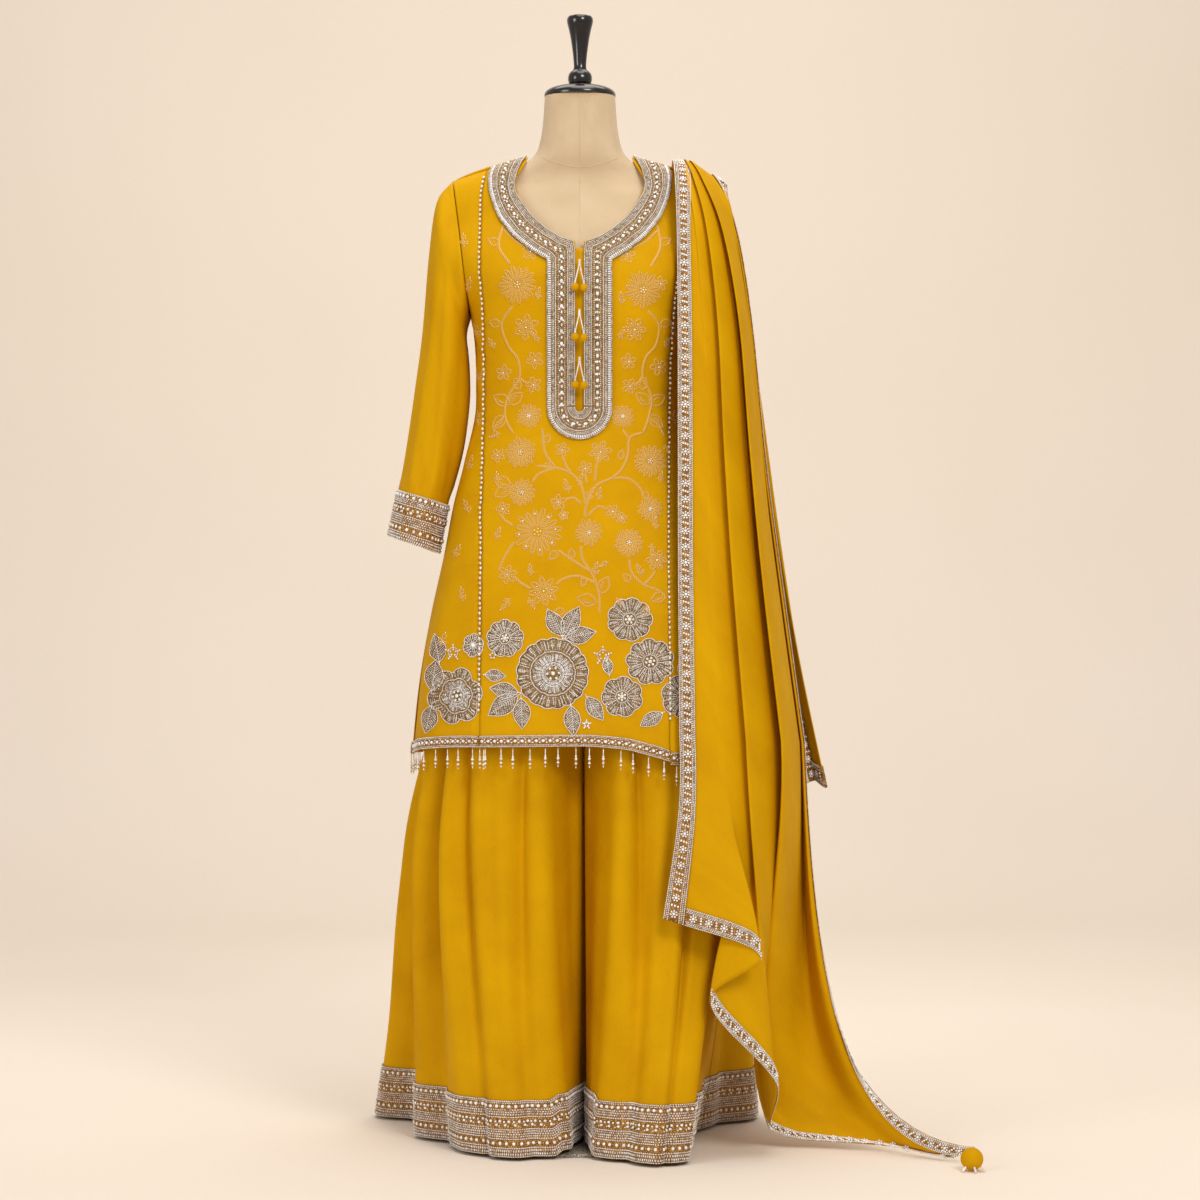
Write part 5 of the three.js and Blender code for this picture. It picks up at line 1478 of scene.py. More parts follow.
class SUIT_OT_stage(bpy.types.Operator):
    """Lays the paper sweep, hangs the lights and sets up the camera"""

    bl_idname = "suit.stage"
    bl_label = "Stage"

    def execute(self, context):
        deselect()
        bpy.ops.mesh.primitive_plane_add(size=14, location=(0, -2.5, 0))
        sweep = context.object
        sweep.name = "paper_sweep"
        bpy.ops.object.transform_apply(location=True, rotation=False, scale=False)
        bpy.ops.object.mode_set(mode="EDIT")
        choose_points(lambda p: p.y > 4)
        bpy.ops.mesh.extrude_region_move(TRANSFORM_OT_translate={"value": (0, 0, 7)})
        choose_points(lambda p: p.y > 4 and p.z < 1)
        bpy.ops.mesh.bevel(offset=1.6, segments=18, affect="EDGES")
        bpy.ops.object.mode_set(mode="OBJECT")
        bpy.ops.object.shade_smooth()
        sweep.data.materials.append(finish_of("paper"))
        lamps = (
            ("key_softbox", (1.6, -3.4, 3.0), 1.5, 74, "#FFFBF6"),
            ("fill_softbox", (-3.2, -2.8, 1.9), 1.8, 38, "#FFFCF8"),
            ("top_softbox", (0.2, -0.6, 3.6), 2.0, 26, "#FFFCF8"),
            ("backdrop_wash", (0.0, 1.2, 3.4), 3.0, 50, "#FFFAF4"),
        )
        for name, spot, wide, power, colour in lamps:
            bpy.ops.object.light_add(type="AREA", location=spot)
            lamp = context.object
            lamp.name = name
            lamp.data.shape, lamp.data.size, lamp.data.energy = "DISK", wide, power
            lamp.data.color = linear(colour)[:3]
            aim = (0, 3.4, 0.4) if name == "backdrop_wash" else (0.05, 0, 0.75)
            way = [a - b for a, b in zip(aim, spot)]
            flat = math.hypot(way[0], way[1])
            lamp.rotation_euler = (math.atan2(flat, -way[2]), 0, math.atan2(way[1], way[0]) - math.pi / 2)
        world = bpy.data.worlds.new("studio_air")
        world.use_nodes = True
        sky = world.node_tree.nodes["Background"]
        sky.inputs["Color"].default_value = linear("#FFFBF6")
        sky.inputs["Strength"].default_value = 0.44
        context.scene.world = world
        context.scene.view_settings.view_transform = "Standard"
        bpy.ops.object.camera_add(location=(0.0284, -4.5, 0.767), rotation=(math.pi / 2, 0, 0))
        camera = context.object
        camera.data.lens, camera.data.sensor_width = 95, 36
        context.scene.camera = camera
        return {"FINISHED"}


# ---- dress form -----------------------------------------------------------------------------
FORM = table(
    "z half front back",
    (720, 146, 88, 108),
    (760, 158, 98, 116),
    (850, 164, 104, 122),
    (957, 146, 92, 98),
    (1050, 126, 82, 74),
    (1130, 136, 94, 80),
    (1214, 148, 111, 86),
    (1250, 156, 99, 84),
    (1285, 160, 82, 78),
    (1320, 164, 62, 66),
    (1345, 166, 47, 52),
    (1356, 160, 37, 38),
    (1370, 122, 34, 28),
    (1383, 86, 38, 26),
    (1394, 68, 42, 31),
    (1409, 59, 44, 40),
    (1440, 53, 44, 43),
    (1481, 50, 45, 45),
)


def form_point(turn, z):
    side = boxiness(turn)
    depth = np.where(np.cos(turn) > 0, column(FORM, "z", "front", z), column(FORM, "z", "back", z))
    return point_of(column(FORM, "z", "half", z) * np.sin(turn) * side, -depth * np.cos(turn) * side, z)


def form_front(x, z):
    """The front of the form at a place across and a level."""
    half = column(FORM, "z", "half", z)
    turn = np.arcsin(np.clip(x / (half * 1.0), -0.98, 0.98))
    return form_point(turn, z)


class SUIT_OT_dress_form(bpy.types.Operator):
    """Covers the form in jersey and marks its seams"""

    bl_idname = "suit.dress_form"
    bl_label = "Dress form"

    def execute(self, context):
        shape = Shape()
        turns = np.linspace(0, 2 * np.pi, 97)
        levels = np.concatenate([np.linspace(720, 1200, 30), np.linspace(1210, 1481, 60)])
        u, v = np.meshgrid(turns, levels, indexing="ij")
        p = form_point(u, v)
        flat = np.stack([u * 0.12, v * MM], -1)
        rows = len(levels)
        i, j = [g.ravel() for g in np.meshgrid(np.arange(96), np.arange(rows - 1), indexing="ij")]
        corner_i, corner_j = np.stack([i, i + 1, i + 1, i], -1), np.stack([j, j, j + 1, j + 1], -1)
        faces = (corner_i % 96) * rows + corner_j
        shape.add(p[:96].reshape(-1, 3), faces, 0, flat[corner_i, corner_j])
        for level, row in ((720, 0), (1481, rows - 1)):
            k = np.arange(96)
            rim = p[:96, row]
            points = np.concatenate([rim, [[0, 0, level]]])
            fan = np.stack([k, (k + 1) % 96, np.full(96, 96)], -1)
            shape.add(points, fan if row else fan[:, ::-1], 0, points[fan][..., :2] * MM)
        shape_seams = []
        z = np.linspace(1090, 1476, 60)
        shape_seams.append(np.stack([0 * z - 0.4, z], -1))
        x = np.linspace(-52, 52, 40)
        shape_seams.append(np.stack([x, 1396 - 19 * np.cos(x / 56 * np.pi / 2) ** 0.8], -1))
        thread_lines(shape, shape_seams, 1.6, 0.7, 0, -0.1, form_front)
        piece = shape.build("form_jersey", [finish_of("jersey")])
        settle(piece, "jersey", "form_torso")
        return {"FINISHED"}


def turn_up(name, profile, sides):
    """Turns a closed solid on the form's axis: a disc is extruded and scaled up its profile."""
    deselect()
    first, rest = profile[0], profile[1:]
    bpy.ops.mesh.primitive_circle_add(
        vertices=sides, radius=first[0] * MM, fill_type="NGON", location=(0, 0, first[1] * MM))
    piece = bpy.context.object
    piece.name = name
    bpy.ops.object.transform_apply(location=True, rotation=False, scale=False)
    bpy.ops.object.mode_set(mode="EDIT")
    bpy.ops.mesh.select_all(action="SELECT")
    bpy.ops.mesh.flip_normals()
    radius, level = first
    for next_radius, next_level in rest:
        rise = (next_level - level) * MM
        bpy.ops.mesh.extrude_region_move(TRANSFORM_OT_translate={"value": (0, 0, rise)})
        share = next_radius / radius
        bpy.ops.transform.resize(value=(share, share, 1), center_override=(0, 0, next_level * MM))
        radius, level = next_radius, next_level
    bpy.ops.mesh.select_all(action="SELECT")
    bpy.ops.mesh.normals_make_consistent(inside=False)
    bpy.ops.object.mode_set(mode="OBJECT")
    bpy.ops.object.shade_smooth_by_angle(angle=math.radians(32))
    return piece


class SUIT_OT_neck_cap(bpy.types.Operator):
    """Turns the lacquered neck cap and its finial"""

    bl_idname = "suit.neck_cap"
    bl_label = "Neck cap and finial"

    def execute(self, context):
        dome = [(50 * math.cos(a), 1486 + 13.6 * math.sin(a)) for a in np.radians([16, 30, 44, 58, 70, 79, 86])]
        cap = turn_up("neck_cap", [(49.5, 1481.5), (50.8, 1482.2), (51, 1484), (50.6, 1486.4)] + dome, 64)
        cap.data.materials.append(finish_of("lacquer"))
        settle(cap, "lacquer", "form_neck_cap")
        foot = [(14.5, 1500.2), (16, 1501.5), (17, 1505), (17.2, 1509), (16, 1514), (13.2, 1517.6), (10.2, 1519.6)]
        neck = [(9.2, 1522), (8.8, 1526), (9.1, 1531), (9.9, 1540), (11.4, 1552), (13.2, 1564), (15.4, 1575)]
        top = [(17.6, 1584), (18.8, 1589), (18.4, 1593), (16.4, 1596), (12, 1597.6), (6, 1598)]
        finial = turn_up("finial", foot + neck + top, 48)
        finial.data.materials.append(finish_of("lacquer"))
        settle(finial, "lacquer", "form_finial")
        pole = turn_up("stand_tube", [(10.4, 6.4), (11, 7), (11, 60), (11, 400), (11, 712), (10.4, 719)], 40)
        pole.data.materials.append(finish_of("steel"))
        settle(pole, "stand_steel", "stand_pole")
        rim = [(146.4, 0), (148, 1.4), (148, 3.4), (146.6, 5.2), (144, 6), (60, 6), (18, 6)]
        plate = turn_up("stand_plate", rim, 96)
        plate.data.materials.append(finish_of("steel"))
        settle(plate, "stand_steel", "stand_base")
        return {"FINISHED"}


# ---- kameez ---------------------------------------------------------------------------------
PLACKET_Q = PLACKET_HALF / NECK_X
SLIT_Q = SLIT_HALF / NECK_X
HALF_COLUMNS = [SLIT_Q, 0.25, PLACKET_Q, 0.75, 1, 1.25, 1.5]
CENTRE_COLUMNS = [-q for q in reversed(HALF_COLUMNS)] + HALF_COLUMNS
BACK_NECK_P = RIDGE_X / SHOULDER_X
PANEL_ROWS = np.concatenate([
    np.linspace(0, 1, 4)[:-1],
    np.linspace(1, UNDERARM_ROW, 9 * 13 + 1)[:-1],
    np.linspace(UNDERARM_ROW, TOP_ROW, 7 * 6 + 1),
])


def centre_kept(q, row):
    slit = (np.abs(q) < SLIT_Q) & (row > SLIT_ROW)
    return ~slit & ((row < NECK_ROW) | (np.abs(q) > 1))


class SUIT_OT_kameez(bpy.types.Operator):
    """Sews the panels of the kameez as thin cloth"""

    bl_idname = "suit.kameez"
    bl_label = "Kameez panels"

    def execute(self, context):
        thick = sizes()["cloth"]
        crepe = [finish_of("crepe")]
        shape = Shape()
        add_wall(shape, finer(CENTRE_COLUMNS, 5), PANEL_ROWS, centre_front, 1, thick, 0, centre_kept)
        front = settle(shape.build("kameez_front", crepe), "mustard_crepe", "kameez_centre_front")
        shape = Shape()
        levels = np.linspace(1008, 1256, 50)
        add_wall(shape, np.linspace(-22, 22, 12), levels, lambda x, z: front_point(x, z), 1, thick, -2.2)
        under = settle(shape.build("slit_underlap", crepe), "mustard_crepe", "kameez_slit_underlap")
        for name, side in (("right", -1), ("left", 1)):
            shape = Shape()
            add_wall(shape, np.linspace(0, 1, 15), PANEL_ROWS,
                     lambda s, row, side=side: side_front(side, s, row), side, thick)
            panel = settle(shape.build(f"kameez_side_{name}", crepe), "mustard_crepe", f"kameez_side_front_{name}")
        half = [0.33 * BACK_NECK_P, 0.67 * BACK_NECK_P, BACK_NECK_P, 0.61, 0.81, 1]
        columns = [-p for p in reversed(half)] + [0] + half
        shape = Shape()
        add_wall(shape, finer(columns, 5), PANEL_ROWS[::2], back_panel, -1, thick)
        back = settle(shape.build("kameez_back_panel", crepe), "mustard_crepe", "kameez_back")
        return {"FINISHED"}


class SUIT_OT_neckline(bpy.types.Operator):
    """Sews the beaded neckline and placket"""

    bl_idname = "suit.neckline"
    bl_label = "Beaded neckline"

    def execute(self, context):
        shape = Shape()
        size = sizes()
        stations = finer(list(range(2 * BAND_ENDS + 1)), 6)
        lift = 2.6
        add_wall(shape, stations, np.linspace(0, 1, 9), neck_band_point, -1, size["tape"],
                 lift + size["tape"] / 2, finish=GROUND)
        band = Strip(neck_band_point, 0, 2 * BAND_ENDS, 39, -1, lift + size["tape"])
        seed = size["seed"]
        band.row(shape, 0.9, 2.2, (1.1, 0.9, 0.9), PEARLS, up=0.5)
        for n, across in enumerate((3.2, 5.4, 7.6)):
            band.row(shape, across, seed, (1.1, 0.9, 0.8), SILVER, up=0.4, shift=0.5 * (n % 2))
        band.row(shape, 10.0, 2.2, (1.1, 0.9, 1.0), CRYSTAL, up=0.5)
        band.row(shape, 18.6, 17, (3.4, 2.6, 1.9), CRYSTAL, STONE, 0.9)
        band.row(shape, 16.2, 17, (1.9, 1.5, 1.3), CRYSTAL, STONE, 0.7, 0.32)
        band.row(shape, 21.2, 17, (1.7, 1.5, 1.3), CRYSTAL, STONE, 0.7, 0.36)
        band.row(shape, 18.4, 17, (2.6, 1.5, 1.4), CRYSTAL, STONE, 0.7, 0.5)
        for n, across in enumerate((12.4, 14.2, 20.2, 22.6, 24.6)):
            band.row(shape, across, 2.9, (1.0, 0.9, 0.8), SILVER if n % 2 else GOLD, up=0.4, shift=0.3 * n % 1)
        band.row(shape, 26.8, 2.2, (1.1, 0.9, 1.0), CRYSTAL, up=0.5)
        band.row(shape, 29.4, seed, (1.1, 0.9, 0.8), SILVER, up=0.4)
        band.row(shape, 31.4, seed, (1.1, 0.8, 0.8), SILVER, up=0.4, shift=0.5)
        band.row(shape, 35.2, 3.0, (1.05, 2.3, 1.1), CRYSTAL, TUBE_ACROSS, 0.5)
        band.row(shape, 38.2, 2.3, (1.1, 0.8, 0.8), SILVER, up=0.4)
        piece = shape.build("neckline_beadwork", bead_finishes("grey_ground"))
        settle(piece, "beadwork", "neck_band")
        shape = Shape()
        half = [0.33 * BACK_NECK_P, 0.67 * BACK_NECK_P, BACK_NECK_P]
        columns = [-p for p in reversed(half)] + [0] + half
        us = finer(columns, 6)

        def back_neck(p, across):
            return back_panel(p, TOP_ROW - 1 + across)

        add_tape(shape, us, np.linspace(0, 1, 4), back_neck, -1)
        band = Strip(back_neck, us[0], us[-1], 20, -1, tape_top())
        for n, across in enumerate((1.2, 5.0, 15.0, 18.8)):
            band.row(shape, across, seed, (1.1, 0.9, 0.9), SILVER, up=0.4, shift=0.5 * (n % 2))
        band.row(shape, 10, 7, (2.4, 2.4, 1.6), CRYSTAL, STONE, 0.8)
        settle(shape.build("back_neck_beadwork", bead_finishes()), "beadwork", "neck_band_back")
        return {"FINISHED"}


# a tube bead that lies across its row
TUBE_ACROSS = (np.stack([TUBE[0][:, 0], TUBE[0][:, 2], -TUBE[0][:, 1]], -1), TUBE[1])


def hem_strips():
    """Name, columns, surface and facing of each stretch of the kameez hem."""
    half = [0.33 * BACK_NECK_P, 0.67 * BACK_NECK_P, BACK_NECK_P, 0.61, 0.81, 1]
    back = [-p for p in reversed(half)] + [0] + half
    return (
        ("centre", finer(CENTRE_COLUMNS, 5), centre_front, 1),
        ("right", np.linspace(0, 1, 15), lambda s, row: side_front(-1, s, row), -1),
        ("left", np.linspace(0, 1, 15), lambda s, row: side_front(1, s, row), 1),
        ("back", finer(back, 5), back_panel, -1),
    )


class SUIT_OT_hem_band(bpy.types.Operator):
    """Sews the narrow beaded band round the kameez hem"""

    bl_idname = "suit.hem_band"
    bl_label = "Kameez hem band"

    def execute(self, context):
        seed = sizes()["seed"]
        for name, us, point, out in hem_strips():
            shape = Shape()
            add_tape(shape, us, np.linspace(0, 1, 4), point, out)
            band = Strip(point, us[0], us[-1], HEM_BAND, out, tape_top())
            band.row(shape, 0.8, 2.2, (1.1, 0.9, 0.9), PEARLS, up=0.4)
            band.row(shape, 2.8, seed, (1.1, 0.8, 0.8), SILVER, up=0.4, shift=0.5)
            band.row(shape, 13.2, seed, (1.1, 0.8, 0.8), SILVER, up=0.4)
            band.row(shape, 15.2, 2.2, (1.1, 0.9, 0.9), PEARLS, up=0.4, shift=0.5)
            band.row(shape, 8.2, 9.5, (2.7, 2.5, 1.7), CRYSTAL, STONE, 0.8)
            band.row(shape, 6.2, 9.5, (1.4, 1.3, 1.1), CRYSTAL, STONE, 0.6, 0.5)
            band.row(shape, 10.6, 9.5, (1.3, 1.2, 1.0), CRYSTAL, STONE, 0.6, 0.42)
            band.row(shape, 8.2, 9.5, (1.2, 1.0, 0.9), GOLD, SEED, 0.5, 0.3)
            band.row(shape, 8.2, 9.5, (1.2, 1.0, 0.9), GOLD, SEED, 0.5, 0.7)
            piece = shape.build(f"hem_beadwork_{name}", bead_finishes())
            settle(piece, "beadwork", f"kameez_hem_band_{name}")
        return {"FINISHED"}


class SUIT_OT_piping(bpy.types.Operator):
    """Sews the pearls down the princess seams"""

    bl_idname = "suit.piping"
    bl_label = "Pearl piping"

    def execute(self, context):
        for name, side in (("right", -1), ("left", 1)):
            z = np.linspace(600 if side > 0 else 612, 1366, 300)
            line = np.stack([side * column(SEAMS, "z", name, z), z], -1)
            shape = Shape()
            bead_lines(shape, [line], 7.0, (2.25, 1.75, 1.75), PEARLS, 2.4, PEARL)
            shifted = line[2:] + [0, 0]
            bead_lines(shape, [shifted], 7.0, (1.2, 1.1, 1.1), PEARLS, 1.9, SEED)
            thread_lines(shape, [line[::3]], 1.5, 0.9, GROUND, 0.3)
            settle(shape.build(f"pearl_row_{name}", bead_finishes()), "pearl_beads", f"pearl_piping_{name}")
        return {"FINISHED"}


class SUIT_OT_drops(bpy.types.Operator):
    """Hangs the bead drops under the kameez hem"""

    bl_idname = "suit.drops"
    bl_label = "Bead drops"

    def execute(self, context):
        pitch = sizes()["drop"]
        for name, us, point, out in hem_strips():
            shape = Shape()
            band = Strip(point, us[0], us[-1], HEM_BAND, out, 1.4)
            at, across = band.spaced(0.2, pitch)
            span = us[-1] - us[0]
            at = at + span * 0.008 * np.sin(np.arange(len(at)) * 2.3 + len(name))
            if name == "centre":
                at = np.concatenate([[us[0] + span * 0.006, us[0] + span * 0.026], at])
                across = np.full(len(at), across[0])
            tops, run, _, _ = band.frames(np.clip(at, us[0], us[-1]), across)
            tops[:, 2] -= 1.0
            up = np.broadcast_to([0.0, 0.0, 1.0], tops.shape)
            run = unit(run * [1, 1, 0])
            side = np.cross(up, run)
            shorter = (0.95 + 0.05 * np.sin(np.arange(len(at)) * 1.7))[:, None]

            def hang(depth, solid, size, finish):
                centres = tops - up * depth * shorter
                place(shape, solid, centres, run, side, up, size, finish)

            hang(1.0, SEED, (1.1, 1.1, 1.1), GOLD)
            hang(6.8, TUBE, (0.75, 0.75, 4.6), PEARLS)
            hang(12.6, DROP, (1.7, 1.7, 2.2), PEARLS)
            hang(16.6, PEARL, (2.2, 2.2, 2.2), PEARLS)
            hang(20.0, SEED, (1.9, 1.9, 1.4), GOLD)
            hang(23.0, STONE, (2.3, 2.3, 2.2), CRYSTAL)
            hang(25.8, SEED, (1.9, 1.9, 1.5), GOLD)
            hang(28.0, DROP, (1.1, 1.1, 1.8), PEARLS)
            settle(shape.build(f"bead_drops_{name}", bead_finishes()), "pearl_beads", f"bead_fringe_{name}")
        return {"FINISHED"}


class SUIT_OT_thread_work(bpy.types.Operator):
    """Embroiders vines, flowers and leaves on the front of the kameez"""

    bl_idname = "suit.thread_work"
    bl_label = "Thread work"

    def execute(self, context):
        stones = []
        stems, fine = thread_design(stones)
        for side, name in ((-1, "right"), (1, "left")):
            for k in range(11):
                z = 640 + 62 * k
                seam = float(column(SEAMS, "z", name, z))
                x = side * mix(seam, float(column(BODY, "z", "half", z)), (0.38, 0.7)[k % 2])
                if k > 0 or side > 0:
                    fine += bud_spray((x, z), 19, (112, 70, 96, 60)[k % 4], stones)
        shape = Shape()
        thread_lines(shape, stems, 4.0, 1.1, 0, 0.45)
        thread_lines(shape, fine, 2.7, 0.9, 0, 0.45)
        piece = shape.build("thread_embroidery", [finish_of("thread")])
        settle(piece, "mustard_crepe")
        shape = Shape()
        spots = np.array(stones)
        centres, right, rise, normal = flat_frames(spots[:, :2], front_point, 1.3)
        radius = spots[:, 2:3]
        place(shape, STONE, centres, right, rise, normal, np.concatenate([radius, radius, radius * 0.8], 1), CRYSTAL)
        settle(shape.build("thread_work_stones", bead_finishes()), "beadwork")
        return {"FINISHED"}


def beaded_flower(shape, x, z, radius, petals, turn, depth):
    """Rows of seed beads over a net ground: rim, petal edges, filling rows and a stone centre."""
    centre = np.array([x, z], float)
    outline = scalloped(centre, radius, petals, turn, depth)
    net_patch(shape, centre, outline, 0.75, GROUND)
    silver, bright = [], [closed(outline)]
    count = petals * max(2, int(round(2 * math.pi * radius * 0.8 / petals / 3.1)))
    tiers = [(0.33, 0.96)] if radius < 40 else [(0.24, 0.58), (0.66, 0.97)]
    for low, high in tiers:
        for k in range(count):
            a = math.radians(turn) + math.pi / petals + 2 * math.pi * k / count
            edge = 1 - depth + depth * abs(math.cos(petals * (a - math.radians(turn)) / 2)) ** 0.6
            begin = low if k % 2 == 0 else low + 0.3 * (high - low)
            share = np.linspace(begin, high * edge - 0.02, 6)[:, None]
            bow = 0.05 * math.sin(k * 1.9)
            way = np.stack([np.cos(a + bow * share[:, 0]), np.sin(a + bow * share[:, 0])], -1)
            line = centre + radius * share * way
            (bright if k % (count // petals) == 0 else silver).append(line)
    for share in ([0.3] if radius < 40 else [0.22, 0.62, 0.3]):
        bright.append(closed(scalloped(centre, radius * share, petals, turn, depth * 0.6, 48)))
    bead_lines(shape, silver, 2.3, (1.15, 1.05, 0.85), SILVER, 1.5)
    bead_lines(shape, bright, 2.1, (1.15, 0.85, 0.95), CRYSTAL, 1.7)
    spots = [(x, z, min(0.09 * radius + 1.2, 3.4))]
    for k in range(6):
        a = math.radians(60 * k + turn)
        spots.append((x + radius * 0.16 * math.cos(a), z + radius * 0.16 * math.sin(a), min(0.05 * radius + 0.8, 2.2)))
    spots = np.array(spots)
    centres, right, rise, normal = flat_frames(spots[:, :2], front_point, 1.9)
    place(shape, STONE, centres, right, rise, normal, spots[:, 2:3] * [1, 1, 0.8], PEARLS)


def beaded_leaf(shape, x, z, length, turn):
    """A pointed leaf with a bright rim and rib, and slanting rows between."""
    t = np.linspace(0, 1, 16)
    wide = 0.27 * length * np.sin(np.pi * t**0.9)
    upper = np.stack([t * length, wide], -1)
    rim = np.concatenate([upper, upper[::-1][1:-1] * [1, -1]])
    rim = turned([rim], (x, z), turn)[0]
    centre = turned([np.array([[length / 2, 0.0]])], (x, z), turn)[0][0]
    net_patch(shape, centre, rim, 0.75, GROUND)
    rib = turned([np.array([[-0.1 * length, 0], [0.92 * length, 0]])], (x, z), turn)
    rows = []
    for share in np.arange(0.12, 0.84, 3.3 / length):
        tall = 0.24 * length * math.sin(math.pi * min(share + 0.12, 1) ** 0.9)
        for s in (-1, 1):
            rows.append(np.array([[share * length, 0.9 * s], [share * length + tall * 0.75, s * tall * 0.92]]))
    rows = turned(rows, (x, z), turn)
    bead_lines(shape, rows, 2.3, (1.1, 1.0, 0.8), SILVER, 1.5)
    bead_lines(shape, [closed(rim)] + rib, 2.1, (1.15, 0.8, 0.95), CRYSTAL, 1.7)


class SUIT_OT_hem_flowers(bpy.types.Operator):
    """Beads the silver flowers and leaves above the hem"""

    bl_idname = "suit.hem_flowers"
    bl_label = "Beaded flowers"

    def execute(self, context):
        shape = Shape()
        for flower in HEM_FLOWERS:
            beaded_flower(shape, *flower)
        for leaf in HEM_LEAVES:
            beaded_leaf(shape, *leaf)
        for x, z, radius in STARS:
            rays = [turned([np.array([[radius * 0.2, 0], [radius, 0]])], (x, z), 72 * k + 18)[0] for k in range(5)]
            bead_lines(shape, rays, 3.4, (1.7, 1.5, 1.3), PEARLS, 1.6, STONE)
            rim = [closed(scalloped(np.array([x, z]), radius * 0.62, 5, 18, 0.3, 30))]
            bead_lines(shape, rim, 2.6, (1.2, 1.0, 0.9), SILVER, 1.5)
        settle(shape.build("hem_flowers", bead_finishes("grey_ground")), "beadwork")
        return {"FINISHED"}


# ---- sleeves and trousers ---------------------------------------------------------------------
def wide_beadwork(shape, band, width):
    """The deep border of the trousers and cuffs, from its top edge down."""
    seed = sizes()["seed"]
    k = width / LEG_BAND
    band.row(shape, 1.2 * k, 3.0, (1.5, 1.1, 1.0), PEARLS, up=0.5)
    band.row(shape, 3.6 * k, 3.2, (1.5, 1.1, 0.9), SILVER, up=0.4)
    band.row(shape, 8.0 * k, 8.6, (3.0, 2.7, 1.9), CRYSTAL, STONE, 0.9)
    band.row(shape, 8.0 * k, 8.6, (1.1, 1.6, 1.0), GOLD, STONE, 0.5, 0.5)
    for n, across in enumerate((12.6, 15.8, 19.0)):
        band.row(shape, across * k, 3.3, (1.5, 1.35, 1.0), SILVER, up=0.4, shift=0.5 * (n % 2))
    band.row(shape, 22.6 * k, 3.0, (1.5, 1.0, 1.0), CRYSTAL, up=0.5)
    band.row(shape, 28.4 * k, 13, (2.6, 2.2, 1.7), CRYSTAL, STONE, 0.8)
    band.row(shape, 33.4 * k, 13, (2.6, 2.2, 1.7), CRYSTAL, STONE, 0.8, 0.36)
    band.row(shape, 29.0 * k, 13, (1.9, 1.7, 1.4), CRYSTAL, STONE, 0.7, 0.5)
    band.row(shape, 34.6 * k, 13, (1.3, 1.2, 1.0), CRYSTAL, STONE, 0.6, 0.05)
    for n, across in enumerate((25.6, 31.0, 36.6)):
        band.row(shape, across * k, 4.2, (1.5, 1.1, 0.9), GOLD, up=0.3, shift=0.4 * n)
    band.row(shape, 39.4 * k, 3.0, (1.5, 1.0, 1.0), CRYSTAL, up=0.5)
    for n, across in enumerate((42.4, 45.7, 49.0)):
        band.row(shape, across * k, 3.3, (1.5, 1.35, 1.0), SILVER, up=0.4, shift=0.5 * (n % 2))
    band.row(shape, 52.2 * k, 3.0, (1.5, 1.0, 1.0), CRYSTAL, up=0.5)
    band.row(shape, 58.4 * k, 9.6, (2.8, 2.8, 1.8), CRYSTAL, STONE, 0.9)
    band.row(shape, 58.4 * k, 9.6, (1.2, 1.2, 1.0), GOLD, STONE, 0.5, 0.5)
    band.row(shape, 55.2 * k, 4.2, (1.5, 1.0, 0.9), GOLD, up=0.3)
    band.row(shape, 61.6 * k, 4.2, (1.5, 1.0, 0.9), GOLD, up=0.3, shift=0.5)
    band.row(shape, 64.6 * k, 3.0, (1.5, 1.0, 1.0), CRYSTAL, up=0.5)
    band.row(shape, 68.4 * k, 3.1, (1.3, 2.2, 1.1), SILVER, SEED, 0.4)
    band.row(shape, 73.0 * k, 3.1, (1.3, 2.2, 1.1), SILVER, SEED, 0.4, 0.5)
    band.row(shape, 76.0 * k, 3.0, (1.5, 0.9, 0.9), PEARLS, up=0.4)


class SUIT_OT_sleeves(bpy.types.Operator):
    """Sews the sleeves and beads their cuffs"""

    bl_idname = "suit.sleeves"
    bl_label = "Sleeves and cuffs"

    def execute(self, context):
        thick = sizes()["cloth"]
        turns = np.linspace(0, 2 * np.pi, 73)
        for name, side in (("right", -1), ("left", 1)):
            def point(turn, at, side=side):
                return sleeve_point(side, turn, at)

            shape = Shape()
            add_wall(shape, turns, np.linspace(0, SLEEVE_END, 49), point, side, thick, wrap=True)
            piece = settle(shape.build(f"sleeve_cloth_{name}", [finish_of("crepe")]), "mustard_crepe", f"sleeve_{name}")
            shape = Shape()
            add_tape(shape, turns, np.linspace(CUFF_ROW, SLEEVE_END, 9), point, side, True)

            def cuff(turn, across, side=side):
                return sleeve_point(side, turn, CUFF_ROW + across)

            band = Strip(cuff, 0, 2 * np.pi, 67, side, tape_top())
            wide_beadwork(shape, band, 67)
            settle(shape.build(f"cuff_beadwork_{name}", bead_finishes()), "beadwork", f"cuff_band_{name}")
        return {"FINISHED"}


